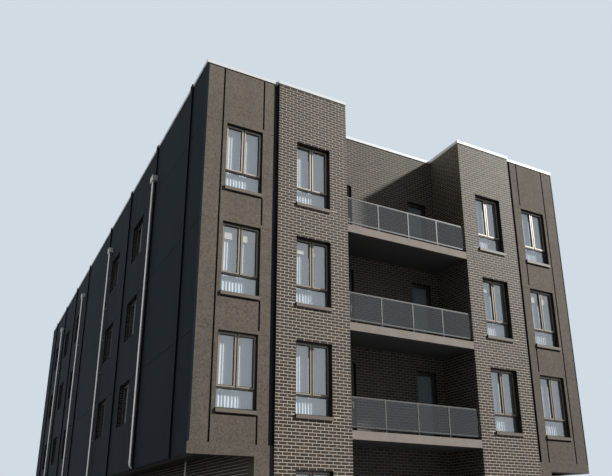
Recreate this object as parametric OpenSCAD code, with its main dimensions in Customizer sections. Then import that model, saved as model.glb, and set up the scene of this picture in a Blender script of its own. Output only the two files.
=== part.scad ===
// Four-storey apartment block: two brick and render towers on either side of a recess with
// balconies, metal-clad side walls carried out over a narrower ground storey.
// X runs along the front, Y from the front to the rear and Z up from the ground.

/* [Front] */
// Width of a render bay, from the corner to the metal channel
render_w = 2020; // [1900:10:2600]
// Width of the recessed metal channel between render and brick
channel_w = 150; // [100:5:250]
// Width of the brick part of a tower
brick_w = 2270; // [2030:10:2750]
// Clear width of the balcony recess
recess_w = 4500; // [3800:10:5600]
// Depth of the balcony recess behind the brick face
recess_d = 1510; // [1200:10:2400]
// How far the brick stands in front of the render
brick_proud = 50; // [20:5:80]
// How far the metal channel lies behind the render
channel_set = 60; // [30:5:120]

/* [Sides] */
// Distance from the front to the middle of the first rib
rib_first = 1350; // [1000:10:2000]
// Distance between the ribs of a window bay
side_bay = 3725; // [3400:5:4200]
// Distance between the ribs of the blind bay
blind_bay = 4975; // [3600:5:5600]
// Distance from the last rib to the rear
rib_last = 1995; // [1000:5:2600]
// Width of a rib
rib_w = 180; // [120:5:240]
// How far a rib stands in front of the cladding
rib_proud = 50; // [30:5:55]
// Thickness of the metal cladding
clad_t = 50; // [40:5:80]
// How far the upper storeys stand out over the ground storey
overhang_w = 1660; // [1300:10:1800]

/* [Levels] */
// Top of the ground slab above the ground
ground_up = 326; // [200:2:500]
// Floor to floor height of the ground storey
ground_h = 3354; // [3100:2:3800]
// Floor to floor height of an upper storey
storey_h = 3010; // [2800:5:3400]
// Height of the render parapet above the roof slab
parapet_h = 1040; // [600:10:1400]
// How much higher the brick parapet is than the render parapet
brick_step = 40; // [20:5:100]
// Headroom under the overhang
overhang_z = 2870; // [2600:10:3000]
// Height of the render band along the foot of a render bay
band_h = 280; // [200:10:400]
// Height of the overhang's soffit above the edge of the cladding
soffit_up = 270; // [150:10:300]

/* [Structure] */
// Thickness of the front and rear walls
wall_t = 290; // [260:5:400]
// Thickness of the side walls behind the cladding
side_t = 250; // [200:5:350]
// Thickness of a floor slab
slab_t = 300; // [200:10:320]
// Depth of a corner pillar
pillar_d = 340; // [300:10:600]
// Thickness of a coping
coping_t = 100; // [60:5:140]
// Fall of a coping's top towards the roof
coping_fall = 8; // [2:1:15]
// How far a coping stands out over the wall below
coping_over = 20; // [10:5:40]
// Open joint between lengths of coping
coping_gap = 6; // [3:1:15]

/* [Tall windows] */
// Width of a tall window's opening
win_w = 1090; // [900:10:1300]
// Height of a tall window's opening
win_h = 1978; // [1700:2:2100]
// Height of the opening's foot above the floor
win_up = 290; // [150:10:450]
// Distance from the corner to the window in the render
render_win_in = 600; // [540:10:700]
// Height of the transom above the foot of the opening
transom_up = 520; // [400:10:800]
// How far a window frame lies behind the face of the render
reveal = 95; // [60:5:110]

/* [Side windows] */
// Width of a side window's opening
side_win_w = 1410; // [1100:10:1700]
// Height of a side window's opening
side_win_h = 1432; // [1000:2:1500]
// How far the head of a side window lies below the head of a tall window
side_win_drop = 86; // [0:2:200]
// Distance from a rib to the middle of the window behind it
side_win_in = 2140; // [1600:10:2400]

/* [Frames] */
// Face width of a frame's outer member, its mullion and its transom
frame_face = 36; // [30:2:60]
// Face width of a sash
sash_face = 42; // [30:2:60]
// How far a sash stands in front of its frame
sash_proud = 12; // [4:1:20]
// Width of the gap round a sash
sash_gap = 5; // [3:1:8]
// Depth of the gap round a sash
sash_gap_d = 10; // [4:1:15]
// Face width of a glazing bead
bead_w = 12; // [8:1:18]
// How far a glazing bead lies behind the front of the frame
bead_set = 8; // [4:1:15]
// Depth of a frame
frame_depth = 70; // [60:5:90]
// Depth of the frame's front part, which the pane sits behind
frame_front = 35; // [25:5:40]
// Thickness of a pane
pane_t = 24; // [12:2:28]
// Height of a sill's face
sill_h = 90; // [50:5:110]
// How far a sill stands in front of its wall
sill_out = 40; // [20:5:80]
// How far a sill runs past the opening in the brick
sill_ear = 10; // [0:5:80]
// Fall of a sill's top from the frame to its front edge
sill_fall = 12; // [4:1:12]
// Height of a sill's top above the foot of the opening, at the frame
sill_rise = 14; // [14:1:24]
// Width and depth of the drip under a sill
sill_drip = 8; // [4:1:12]

/* [Grooves] */
// Width of the grooves in the render
groove_w = 50; // [30:5:70]
// Depth of the grooves in the render
groove_d = 30; // [15:5:40]
// Distance from the corner to the long groove
groove_in = 445; // [380:5:480]
// Width of the groove under a sill
sill_groove_w = 34; // [20:2:50]
// How far the broken groove laps past the window's edge
groove_lap = 12; // [0:1:25]
// Distance from a window's head to the groove above it
groove_stop = 100; // [40:5:160]
// Width of the level joints in the render
joint_w = 8; // [4:1:12]
// Depth of the level joints in the render
joint_d = 5; // [3:1:10]
// Width of a seam in the cladding
seam_w = 12; // [6:1:20]
// Depth of a seam in the cladding
seam_d = 8; // [4:1:15]
// Width of the trim along the cladding's ends
trim_w = 55; // [40:5:90]
// How far that trim stands in front of the cladding
trim_out = 6; // [2:1:10]

/* [Balconies] */
// Width of a balcony door's opening
door_w = 780; // [700:10:1000]
// Distance from a tower to the balcony door beside it
door_in = 330; // [200:10:500]
// Extra height of a balcony door's bottom rail
door_rail = 110; // [40:5:250]
// Thickness of a balcony slab at its front edge
balcony_t = 235; // [180:5:300]
// Width and depth of the drip groove under a balcony
slab_drip = 15; // [8:1:25]
// Distance from a balcony's front edge to that groove
slab_drip_in = 40; // [20:5:80]
// Height of the handrail above the balcony
rail_h = 920; // [850:10:1200]
// Width of a railing post
post_w = 36; // [34:2:60]
// Height of the top and bottom rails
rail_t = 26; // [20:2:50]
// Gap under the bottom rail
rail_gap = 80; // [50:5:120]
// Distance from the front of a balcony to its railing
rail_in = 50; // [20:5:150]
// Number of glass panels in a railing
rail_bays = 4; // [2:1:6]
// Thickness of the railing glass
rail_glass_t = 12; // [8:1:20]
// Thickness of the lips that hold the railing glass
lip_t = 5; // [3:1:8]
// Height of those lips
lip_h = 16; // [10:1:25]
// Clearance between a lip and the glass
lip_room = 2; // [1:0.5:3]
// Thickness of a post's base plate
plate_t = 8; // [5:1:12]
// How far a base plate runs past its post
plate_over = 20; // [10:2:20]

/* [Rainwater] */
// Distance from the front to the first downpipe
pipe_first = 5050; // [4600:10:5800]
// Distance from the front to the third downpipe
pipe_third = 18500; // [18000:10:18600]
// Distance between the two downpipes of a pair
pipe_step = 6900; // [6400:50:7200]
// Diameter of a downpipe
pipe_dia = 80; // [60:2:90]
// Distance from a wall to the middle of its downpipe
pipe_out = 100; // [96:1:130]
// Width of a hopper along the wall
hopper_w = 350; // [250:10:450]
// How far a hopper stands out from the wall
hopper_out = 170; // [150:5:220]
// Height of a hopper
hopper_h = 200; // [150:5:260]
// How far a hopper's rim stands out over its box
hopper_rim = 8; // [4:1:12]
// Height of a hopper's rim
hopper_rim_h = 24; // [15:1:40]
// Distance between the brackets of a downpipe
bracket_step = 1366; // [1000:2:1800]

/* [Curtains] */
// Space that a curtain's folds take up
curtain_t = 50; // [30:5:55]
// Clearance between a pane and the curtain behind it
curtain_in = 22; // [10:2:25]
// Height and depth of a curtain track
track_s = 22; // [15:1:30]

/* [Hidden] */

brick_colour = [0.25, 0.21, 0.18];
render_colour = [0.40, 0.36, 0.32];
metal_colour = [0.13, 0.15, 0.18];
concrete_colour = [0.48, 0.44, 0.40];
soffit_colour = [0.10, 0.09, 0.08];
white_colour = [0.93, 0.93, 0.92];
bronze_colour = [0.35, 0.30, 0.26];
steel_colour = [0.62, 0.63, 0.63];
glass_colour = [0.55, 0.65, 0.70, 0.4];
curtain_colour = [0.88, 0.87, 0.84];

// Overcut that lets a cut run past the face it starts from
eps = 1;

tower_w = render_w + channel_w + brick_w;
plan_w = 2 * tower_w + recess_w;
plan_d = rib_first + 6 * side_bay + blind_bay + rib_last;
half_w = plan_w / 2;
half_recess = recess_w / 2;
front_y = -plan_d / 2;
rear_y = plan_d / 2;
// Left edge of a tower's brick, and the inner faces of the outer walls
brick_x = -half_w + render_w + channel_w;
inner_x = half_w - side_t;
inner_y = rear_y - wall_t;
// Outer and inner faces of the ground storey's side walls
lower_x = half_w - overhang_w;
lower_in_x = lower_x - wall_t;
// Faces of the recess: its return walls and its back wall
return_in_x = half_recess + wall_t;
back_y = front_y - brick_proud + recess_d;
back_in_y = back_y + wall_t;
brick_y = front_y - brick_proud;
brick_t = wall_t + brick_proud;

// Tops of the ground slab and of the floors above it, the last one the roof slab
function floor_z(i) = i == 0 ? ground_up : ground_up + ground_h + (i - 1) * storey_h;
storeys = 4;
roof_z = floor_z(storeys);
render_top = roof_z + parapet_h;
brick_top = render_top + brick_step;
coping_top = render_top + coping_t;
band_top = overhang_z + band_h;
soffit_z = overhang_z + soffit_up;

// Left edges of the tall windows in the left half, of the rear's middle windows and of the doors
render_win_x = -half_w + render_win_in;
brick_win_x = brick_x + (brick_w - win_w) / 2;
middle_win_x = -half_recess / 2 - win_w / 2;
door_x = -half_recess + door_in;
door_h = win_up + win_h;
// Height of a side window's foot above its floor
side_win_up = win_up + win_h - side_win_drop - side_win_h;

rib_y = [for (k = [0:7]) front_y + rib_first + (k < 4 ? k * side_bay
    : (k - 1) * side_bay + blind_bay)];
window_ribs = [1, 2, 4, 5, 6];
side_win_y = [for (k = window_ribs) rib_y[k] + side_win_in - side_win_w / 2];
pipe_y = [for (first = [pipe_first, pipe_third]) for (k = [0, 1])
    front_y + first + k * pipe_step];
pipe_x = half_w + clad_t + pipe_out;
lower_pipe_x = lower_x + pipe_out;
hopper_z = roof_z - slab_t;
// How far a downpipe's bend hangs below the edge of the cladding
bend_low = 10;
bend_z = overhang_z + pipe_out + pipe_dia / 2 - bend_low;
// Room left round a hopper in a rib, and the radii and wall of the small parts
hopper_room = 5;
collar_h = 30;
bracket_h = 26;
bracket_wall = 8;
// Height of the first bracket above the bend
bracket_up = 60;
bracket_first_z = bend_z + bracket_up;
bracket_low_z = 500;
bracket_top_room = 250;
pipe_foot_z = 40;
round_fn = 32;

// Back face of a pane, measured inwards from the face of the render or of the side wall
pane_back = reveal + frame_front + pane_t;
curtain_room = 15;
curtain_gap = 0.3;

// Geometry helpers
module rect(x, z, w, h) translate([x, z]) square([w, h]);
module upright_x(y, t) translate([0, y + t, 0]) rotate([90, 0, 0]) linear_extrude(t) children();
module upright_y(x, t) translate([x, 0, 0]) rotate([90, 0, 90]) linear_extrude(t) children();
module flat(z, t) translate([0, 0, z]) linear_extrude(t) children();
module block(x, y, z, w, d, h) translate([x, y, z]) cube([w, d, h]);
module both_sides() {
    children();
    mirror([1, 0, 0]) children();
}
module turned_round() rotate([0, 0, 180]) children();

// Openings of one column of tall windows, from storey i0 upwards
module tall_column(x, i0) {
    for (i = [i0:storeys - 1])
        rect(x, floor_z(i) + win_up, win_w, win_h);
}

// Floor outline inside the walls, with the notch of the recess
module floor_outline(x) {
    difference() {
        translate([-x, front_y + wall_t]) square([2 * x, plan_d - 2 * wall_t]);
        translate([-return_in_x, front_y]) square([2 * return_in_x, back_in_y - front_y]);
    }
}

module ground_slab() {
    color(concrete_colour) flat(0, ground_up) floor_outline(lower_in_x);
}

module upper_slab(i) {
    color(concrete_colour) flat(floor_z(i) - slab_t, slab_t) floor_outline(inner_x);
}

// Brick front of the left tower, from the ground to its coping
module tower_brick_wall() {
    color(brick_colour) upright_x(brick_y, brick_t) difference() {
        rect(brick_x, 0, brick_w, brick_top);
        tall_column(brick_win_x, 0);
    }
}

// Height of a tall window's head in storey i
function head_z(i) = floor_z(i) + win_up + win_h;

// Grooves of a render bay: a long one, and a broken one that turns in under each sill
short_groove_x = render_win_x + win_w - groove_lap;

module render_grooves() {
    rect(-half_w + groove_in, band_top, groove_w, render_top - band_top + eps);
    for (i = [1:storeys - 1]) {
        foot_z = floor_z(i) + win_up - sill_h - groove_w;
        rect(render_win_x, foot_z, short_groove_x + groove_w - render_win_x, sill_groove_w);
        low_z = i == 1 ? band_top : head_z(i - 1) + groove_stop;
        rect(short_groove_x, low_z, groove_w, foot_z - low_z + sill_groove_w);
    }
    last_z = head_z(storeys - 1) + groove_stop;
    rect(short_groove_x, last_z, groove_w, render_top - last_z + eps);
}

// Fine level joints at the window heads, on either side of the two grooves
module render_joints() {
    for (i = [1:storeys - 1]) {
        rect(-half_w - eps, head_z(i), groove_in + eps, joint_w);
        rect(short_groove_x + groove_w, head_z(i),
            brick_x - channel_w - short_groove_x - groove_w, joint_w);
    }
}

// Render bay at the left corner with its band, which laps round the end of the cladding
module render_wall() {
    color(render_colour) {
        difference() {
            upright_x(front_y, wall_t) difference() {
                union() {
                    rect(-half_w, overhang_z, render_w, render_top - overhang_z);
                    rect(-half_w, overhang_z, render_w + channel_w, band_h);
                }
                tall_column(render_win_x, 1);
            }
            upright_x(front_y - eps, groove_d + eps) render_grooves();
            upright_x(front_y - eps, joint_d + eps) render_joints();
        }
        block(-half_w - clad_t, front_y, overhang_z, clad_t + eps, groove_d, band_h);
    }
}

module recess_return() {
    color(brick_colour)
        block(-return_in_x, front_y + wall_t, 0, wall_t, back_in_y - front_y - wall_t, brick_top);
}

module recess_back_wall() {
    color(brick_colour) upright_x(back_y, wall_t) difference() {
        rect(-half_recess, 0, recess_w, render_top);
        for (i = [0:storeys - 1])
            for (x = [door_x, -door_x - door_w])
                rect(x, floor_z(i), door_w, door_h);
    }
}

module rear_brick_wall() {
    color(brick_colour) upright_x(inner_y, brick_t) difference() {
        rect(brick_x, 0, -2 * brick_x, brick_top);
        for (x = [brick_win_x, middle_win_x, -middle_win_x - win_w, -brick_win_x - win_w])
            tall_column(x, 0);
    }
}

// Upper side wall in brick behind its cladding
module side_openings(grow) {
    for (y = side_win_y)
        for (i = [1:storeys - 1])
            rect(y - grow, floor_z(i) + side_win_up - grow, side_win_w + 2 * grow,
                side_win_h + 2 * grow);
}

module side_wall() {
    color(brick_colour) upright_y(-half_w, side_t) difference() {
        rect(front_y + wall_t, overhang_z, plan_d - 2 * wall_t, render_top - overhang_z);
        side_openings(0);
    }
}

// Seams of the cladding: upright ones at the window jambs, level ones at the window heads
module cladding_seams() {
    for (y = side_win_y)
        for (x = [y - seam_w, y + side_win_w])
            rect(x, overhang_z - eps, seam_w, render_top - overhang_z + 2 * eps);
    for (i = [1:storeys - 1])
        rect(front_y - eps, floor_z(i) + side_win_up + side_win_h, plan_d + 2 * eps, seam_w);
}

module cladding() {
    color(metal_colour) difference() {
        upright_y(-half_w - clad_t, clad_t) difference() {
            rect(front_y, overhang_z, plan_d, render_top - overhang_z);
            side_openings(0);
            rect(front_y - eps, overhang_z - eps, groove_d + eps, band_h + eps);
            rect(rear_y - groove_d, overhang_z - eps, groove_d + eps, band_h + eps);
        }
        upright_y(-half_w - clad_t - eps, seam_d + eps) cladding_seams();
    }
    color(metal_colour) for (y = [front_y, rear_y - trim_w])
        block(-half_w - clad_t - trim_out, y, band_top, trim_out + eps, trim_w,
            render_top - band_top);
}

module rib_shapes() {
    for (y = rib_y)
        block(-half_w - clad_t - rib_proud, y - rib_w / 2, overhang_z, rib_proud, rib_w,
            coping_top - overhang_z);
}

module hopper_envelope(room) {
    for (y = pipe_y)
        block(-half_w - clad_t - hopper_out - room, y - hopper_w / 2 - room, hopper_z - room,
            hopper_out + 2 * room, hopper_w + 2 * room, hopper_h + 2 * room);
}

module cladding_ribs() {
    color(metal_colour) both_sides() difference() {
        rib_shapes();
        hopper_envelope(hopper_room);
    }
}

module lower_side_walls() {
    color(brick_colour) both_sides()
        block(-lower_x, front_y + pillar_d, 0, wall_t, plan_d - 2 * pillar_d,
            floor_z(1) - slab_t);
}

module corner_pillars() {
    color(render_colour) for (turn = [0, 180]) rotate([0, 0, turn]) both_sides()
        block(-lower_x, front_y, 0, brick_x + lower_x, pillar_d, overhang_z);
}

module overhang_soffits() {
    color(soffit_colour) both_sides()
        block(-inner_x, front_y + wall_t, soffit_z, inner_x - lower_x, plan_d - 2 * wall_t,
            floor_z(1) - slab_t - soffit_z);
}

module channel_strips() {
    color(metal_colour) for (turn = [0, 180]) rotate([0, 0, turn]) both_sides()
        block(brick_x - channel_w, front_y + channel_set, band_top, channel_w,
            wall_t - channel_set, render_top - band_top);
}

// Coping in a straight length whose top falls towards its low side: left, right, front or back.
// Open joints lie between the lengths
module coping(x0, x1, y0, y1, z, low) {
    function top(side) = z + coping_t - (low == side ? coping_fall : 0);
    if (low == "left" || low == "right")
        upright_x(y0, y1 - y0)
            polygon([[x0, z], [x1, z], [x1, top("right")], [x0, top("left")]]);
    else
        upright_y(x0, x1 - x0)
            polygon([[y0, z], [y1, z], [y1, top("back")], [y0, top("front")]]);
}

module copings() {
    over = coping_over;
    corner_x = half_w + clad_t + over;
    color(white_colour) both_sides() {
        // Front: the render bay, the brick and the return beside the recess
        coping(-corner_x, brick_x - over - coping_gap, front_y - over, front_y + wall_t + over,
            render_top, "back");
        coping(brick_x - over, -half_recess + over, brick_y - over, front_y + wall_t + over,
            brick_top, "back");
        coping(-return_in_x - over, -half_recess + over, front_y + wall_t + over + coping_gap,
            back_in_y + over, brick_top, "left");
        // Side wall, let in round the tops of the ribs
        difference() {
            coping(-corner_x, -inner_x + over, front_y + wall_t + over + coping_gap,
                inner_y - over - coping_gap, render_top, "right");
            rib_shapes();
        }
        // Rear: the render bay and half of the brick
        coping(-corner_x, brick_x - over - coping_gap, inner_y - over, rear_y + over, render_top,
            "front");
        coping(brick_x - over, -coping_gap / 2, inner_y - over, rear_y + brick_proud + over,
            brick_top, "front");
    }
    color(white_colour)
        coping(-half_recess + over + coping_gap, half_recess - over - coping_gap, back_y - over,
            back_in_y + over, render_top, "back");
}

// Slab between the towers, with a drip groove along its front edge
module balcony_slab(i) {
    low_z = floor_z(i) - balcony_t;
    color(concrete_colour) difference() {
        block(-half_recess, brick_y, low_z, recess_w, recess_d, balcony_t);
        block(-half_recess - eps, brick_y + slab_drip_in, low_z - eps, recess_w + 2 * eps,
            slab_drip, slab_drip + eps);
    }
}

module porch_slab() {
    color(concrete_colour) block(-half_recess, brick_y, 0, recess_w, recess_d, ground_up);
}

// Railing: posts on base plates, with a top and a bottom rail whose lips hold the glass
post_step = (recess_w - post_w) / rail_bays;
rail_y = brick_y + rail_in;
rail_foot = rail_gap + rail_t;
rail_glass_y = rail_y + (post_w - rail_glass_t) / 2;

module railing_posts(z) {
    for (k = [0:rail_bays]) {
        x = -half_recess + k * post_step;
        block(x, rail_y, z, post_w, post_w, rail_h);
        low_x = max(x - plate_over, -half_recess);
        high_x = min(x + post_w + plate_over, half_recess);
        block(low_x, rail_y - plate_over, z, high_x - low_x, post_w + 2 * plate_over, plate_t);
    }
}

module railing_lips(z) {
    for (y = [rail_glass_y - lip_room - lip_t, rail_glass_y + rail_glass_t + lip_room])
        for (low_z = [z + rail_foot - eps, z + rail_h - rail_t - lip_h])
            block(-half_recess, y, low_z, recess_w, lip_t, lip_h + eps);
}

module railing(i) {
    z = floor_z(i);
    color(steel_colour) {
        railing_posts(z);
        block(-half_recess, rail_y, z + rail_h - rail_t, recess_w, post_w, rail_t);
        block(-half_recess, rail_y, z + rail_gap, recess_w, post_w, rail_t);
        railing_lips(z);
    }
}

module railing_glass() {
    color(glass_colour) for (i = [1:storeys - 1]) for (k = [0:rail_bays - 1])
        block(-half_recess + k * post_step + post_w, rail_glass_y, floor_z(i) + rail_foot,
            post_step - post_w, rail_glass_t, rail_h - rail_t - rail_foot);
}

// Rectangles of a frame as [x, z, width, height, extra height of the bottom rail]
function inset(r, by) = [r[0] + by, r[1] + by + r[4], r[2] - 2 * by, r[3] - 2 * by - r[4], 0];

module rects(list) {
    for (r = list)
        rect(r[0], r[1], r[2], r[3]);
}

// Window frame in X and Z with its front at y = 0. Sashes stand in front of it with a gap round
// them, each light steps in to its glazing bead, and the pane stands in a ring at the back
module frame(w, h, sashes, fixed) {
    lights = concat([for (sash = sashes) inset(sash, sash_face)], fixed);
    difference() {
        union() {
            upright_x(0, frame_front) square([w, h]);
            upright_x(-sash_proud, sash_proud + eps) rects(sashes);
            upright_x(frame_front - eps, frame_depth - frame_front + eps) difference() {
                square([w, h]);
                rects([inset([0, 0, w, h, 0], frame_face)]);
            }
        }
        upright_x(-eps, sash_gap_d + eps) difference() {
            rects([for (r = sashes) inset([r[0], r[1], r[2], r[3], 0], -sash_gap)]);
            rects(sashes);
        }
        upright_x(-sash_proud - eps, sash_proud + bead_set + eps) rects(lights);
        upright_x(-eps, frame_front + 2 * eps) rects([for (r = lights) inset(r, bead_w)]);
    }
}

module pane(w, h) {
    block(frame_face, frame_front, frame_face, w - 2 * frame_face, pane_t, h - 2 * frame_face);
}

// Pair of sashes over z = low_z in a frame
function sash_pair(w, h, low_z) =
    let (sash_w = (w - 3 * frame_face) / 2)
    [for (x = [frame_face, w - frame_face - sash_w])
        [x, low_z, sash_w, h - frame_face - low_z, 0]];

// Two casements over a fixed light
module tall_frame() {
    frame(win_w, win_h, sash_pair(win_w, win_h, transom_up + frame_face),
        [[frame_face, frame_face, win_w - 2 * frame_face, transom_up - frame_face, 0]]);
}

// Pair of equal casements
module side_frame() {
    frame(side_win_w, side_win_h, sash_pair(side_win_w, side_win_h, frame_face), []);
}

// Glazed leaf with a taller bottom rail
module door_frame() {
    frame(door_w, door_h,
        [[frame_face, frame_face, door_w - 2 * frame_face, door_h - 2 * frame_face, door_rail]],
        []);
}

// Puts a piece at every tall window, from the face of the render: front towers, then the rear
module at_tall_windows() {
    both_sides() {
        for (i = [1:storeys - 1])
            translate([render_win_x, front_y, floor_z(i) + win_up]) children();
        for (i = [0:storeys - 1])
            translate([brick_win_x, front_y, floor_z(i) + win_up]) children();
    }
    rotate([0, 0, 180]) both_sides() {
        for (i = [1:storeys - 1])
            translate([render_win_x, front_y, floor_z(i) + win_up]) children();
        for (i = [0:storeys - 1]) for (x = [brick_win_x, middle_win_x])
            translate([x, front_y, floor_z(i) + win_up]) children();
    }
}

// Puts a piece at every side window, its front towards the outside
module at_side_windows() {
    both_sides() for (y = side_win_y) for (i = [1:storeys - 1])
        translate([-half_w, y + side_win_w, floor_z(i) + side_win_up])
            rotate([0, 0, -90]) children();
}

module at_balcony_doors() {
    for (i = [0:storeys - 1]) for (x = [door_x, -door_x - door_w])
        translate([x, back_y, floor_z(i)]) children();
}

module set_back() translate([0, reveal, 0]) children();

module tall_window_frames() {
    color(bronze_colour) at_tall_windows() set_back() tall_frame();
}

module tall_window_glass() {
    color(glass_colour) at_tall_windows() set_back() pane(win_w, win_h);
}

module side_window_frames() {
    color(bronze_colour) at_side_windows() set_back() side_frame();
}

module side_window_glass() {
    color(glass_colour) at_side_windows() set_back() pane(side_win_w, side_win_h);
}

module balcony_door_frames() {
    color(bronze_colour) at_balcony_doors() set_back() door_frame();
}

module balcony_door_glass() {
    color(glass_colour) at_balcony_doors() set_back() pane(door_w, door_h);
}

// Sill under a tall window's opening: its nose hangs in front of the wall with a drip under it,
// and its top falls from the frame, which lies deep behind the wall's face, to the front edge.
// Beside the opening only the ears of the nose are left
module sill(ear, deep) {
    nose_y = -sill_out;
    drip_y = nose_y + sill_drip;
    low_z = -sill_h;
    difference() {
        upright_y(-ear, win_w + 2 * ear) polygon([[deep, sill_rise], [deep, 0], [0, 0],
            [0, low_z], [drip_y + sill_drip, low_z], [drip_y + sill_drip, low_z + sill_drip],
            [drip_y, low_z + sill_drip], [drip_y, low_z], [nose_y, low_z],
            [nose_y, sill_rise - sill_fall]]);
        for (x = [-ear - eps, win_w])
            block(x, 0, -eps, ear + eps, deep + eps, sill_rise + 2 * eps);
    }
}

// Sills of one end of the building, those in the brick at each of the places brick_win
module end_sills(brick_win) {
    for (i = [1:storeys - 1])
        translate([render_win_x, front_y, floor_z(i) + win_up]) sill(0, reveal);
    for (i = [0:storeys - 1]) for (x = brick_win)
        translate([x, brick_y, floor_z(i) + win_up]) sill(sill_ear, reveal + brick_proud);
}

module window_sills() {
    color(bronze_colour) {
        both_sides() end_sills([brick_win_x]);
        turned_round() both_sides() end_sills([brick_win_x, middle_win_x]);
    }
}

// Box of each hopper under its wider rim
module hopper_boxes() {
    wall_x = -half_w - clad_t;
    for (y = pipe_y) {
        block(wall_x - hopper_out + hopper_rim, y - hopper_w / 2 + hopper_rim, hopper_z,
            hopper_out - hopper_rim, hopper_w - 2 * hopper_rim, hopper_h);
        block(wall_x - hopper_out, y - hopper_w / 2, hopper_z + hopper_h - hopper_rim_h,
            hopper_out, hopper_w, hopper_rim_h);
    }
}

// Covered box at the head of each downpipe, with a collar that the pipe runs up into
module rain_hoppers() {
    color(steel_colour) both_sides() {
        hopper_boxes();
        for (y = pipe_y) translate([-pipe_x, y, hopper_z - collar_h]) difference() {
            cylinder(d = pipe_dia + 2 * bracket_wall, h = collar_h + eps, $fn = round_fn);
            translate([0, 0, -eps])
                cylinder(d = pipe_dia, h = collar_h + eps, $fn = round_fn);
        }
    }
}

// Downpipes: on each side wall with a bend into the cladding, and under the overhang
module downpipes() {
    color(steel_colour) both_sides() for (y = pipe_y) {
        translate([-pipe_x, y, bend_z])
            cylinder(d = pipe_dia, h = hopper_z - bend_z, $fn = round_fn);
        translate([-half_w - clad_t, y, bend_z]) rotate([90, 0, 0]) rotate([0, 0, 180])
            rotate_extrude(angle = 90, $fn = round_fn)
                translate([pipe_out, 0]) circle(d = pipe_dia, $fn = round_fn);
        translate([-lower_pipe_x, y, pipe_foot_z])
            cylinder(d = pipe_dia, h = soffit_z - pipe_foot_z, $fn = round_fn);
    }
}

// Bracket: a band round the pipe and a stub back to the wall
module bracket(x, y, z) {
    translate([x, y, z]) difference() {
        union() {
            cylinder(d = pipe_dia + 2 * bracket_wall, h = bracket_h, $fn = round_fn);
            block(0, -bracket_h / 2, 0, pipe_out, bracket_h, bracket_h);
        }
        translate([0, 0, -eps])
            cylinder(d = pipe_dia, h = bracket_h + 2 * eps, $fn = round_fn);
    }
}

module pipe_brackets() {
    upper_z = [for (z = [bracket_first_z : bracket_step : hopper_z - bracket_top_room]) z];
    lower_z = [for (z = [bracket_low_z : bracket_step : soffit_z - bracket_top_room]) z];
    color(steel_colour) both_sides() difference() {
        for (y = pipe_y) {
            for (z = upper_z) bracket(-pipe_x, y, z);
            for (z = lower_z) bracket(-lower_pipe_x, y, z);
        }
        rib_shapes();
    }
}

// Curtain with its track under the head of an opening; its front lies behind the pane
module track(w, h) {
    block(curtain_room, pane_back + curtain_in, h - track_s, w - 2 * curtain_room, track_s,
        track_s);
}

module curtain(w, h) {
    block(curtain_room, pane_back + curtain_in, curtain_room, w - 2 * curtain_room, curtain_t,
        h - track_s - curtain_gap - curtain_room);
}

module curtain_tracks() {
    color(white_colour) {
        at_tall_windows() track(win_w, win_h);
        at_side_windows() track(side_win_w, side_win_h);
        at_balcony_doors() track(door_w, door_h);
    }
}

module curtains() {
    color(curtain_colour) {
        at_tall_windows() curtain(win_w, win_h);
        at_side_windows() curtain(side_win_w, side_win_h);
        at_balcony_doors() curtain(door_w, door_h);
    }
}

ground_slab();
upper_slab(1);  // first_floor
upper_slab(2);  // second_floor
upper_slab(3);  // third_floor
upper_slab(4);  // roof_slab
tower_brick_wall();  // front_left_brick_wall
mirror([1, 0, 0]) tower_brick_wall();  // front_right_brick_wall
render_wall();  // front_left_render_wall
mirror([1, 0, 0]) render_wall();  // front_right_render_wall
recess_return();  // recess_left_return
mirror([1, 0, 0]) recess_return();  // recess_right_return
recess_back_wall();
rear_brick_wall();
turned_round() both_sides() render_wall();  // rear_render_walls
side_wall();  // left_side_wall
mirror([1, 0, 0]) side_wall();  // right_side_wall
cladding();  // left_cladding
mirror([1, 0, 0]) cladding();  // right_cladding
cladding_ribs();
lower_side_walls();
corner_pillars();
overhang_soffits();
channel_strips();
copings();
balcony_slab(1);  // balcony_slab_1
balcony_slab(2);  // balcony_slab_2
balcony_slab(3);  // balcony_slab_3
porch_slab();
railing(1);  // railing_1
railing(2);  // railing_2
railing(3);  // railing_3
railing_glass();
tall_window_frames();
tall_window_glass();
side_window_frames();
side_window_glass();
window_sills();
balcony_door_frames();
balcony_door_glass();
rain_hoppers();
downpipes();
pipe_brackets();
curtain_tracks();
curtains();
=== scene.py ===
"""Looks of a four-storey apartment block in brick, render and dark metal cladding.

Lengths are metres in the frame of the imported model: X runs along the front, Y from the front to
the rear and Z up from the ground. The left half is x < 0.
"""

import logging
import math
from abc import ABC, abstractmethod
from dataclasses import dataclass, field
from enum import Enum
from typing import Callable, Iterable, Sequence

import bpy
import numpy as np
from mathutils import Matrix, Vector


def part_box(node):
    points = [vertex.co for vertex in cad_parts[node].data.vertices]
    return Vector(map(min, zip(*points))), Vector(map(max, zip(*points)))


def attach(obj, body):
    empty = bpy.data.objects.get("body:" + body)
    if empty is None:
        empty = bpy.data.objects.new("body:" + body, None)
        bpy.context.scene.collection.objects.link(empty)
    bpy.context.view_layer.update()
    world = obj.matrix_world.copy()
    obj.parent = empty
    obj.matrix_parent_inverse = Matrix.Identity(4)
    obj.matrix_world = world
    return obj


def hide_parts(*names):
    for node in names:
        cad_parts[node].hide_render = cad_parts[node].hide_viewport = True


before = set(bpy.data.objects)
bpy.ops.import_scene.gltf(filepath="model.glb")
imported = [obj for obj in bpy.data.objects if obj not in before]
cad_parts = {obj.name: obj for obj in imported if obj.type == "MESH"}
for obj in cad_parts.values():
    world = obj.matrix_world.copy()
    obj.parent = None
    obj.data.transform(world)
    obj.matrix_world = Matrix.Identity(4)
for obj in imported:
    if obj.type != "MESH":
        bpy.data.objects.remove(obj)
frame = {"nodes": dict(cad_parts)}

LOG = logging.getLogger("apartment_block")
BODY = "root"
# How far a pane's front lies behind the front of its frame
PANE_SET = 0.035
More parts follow.
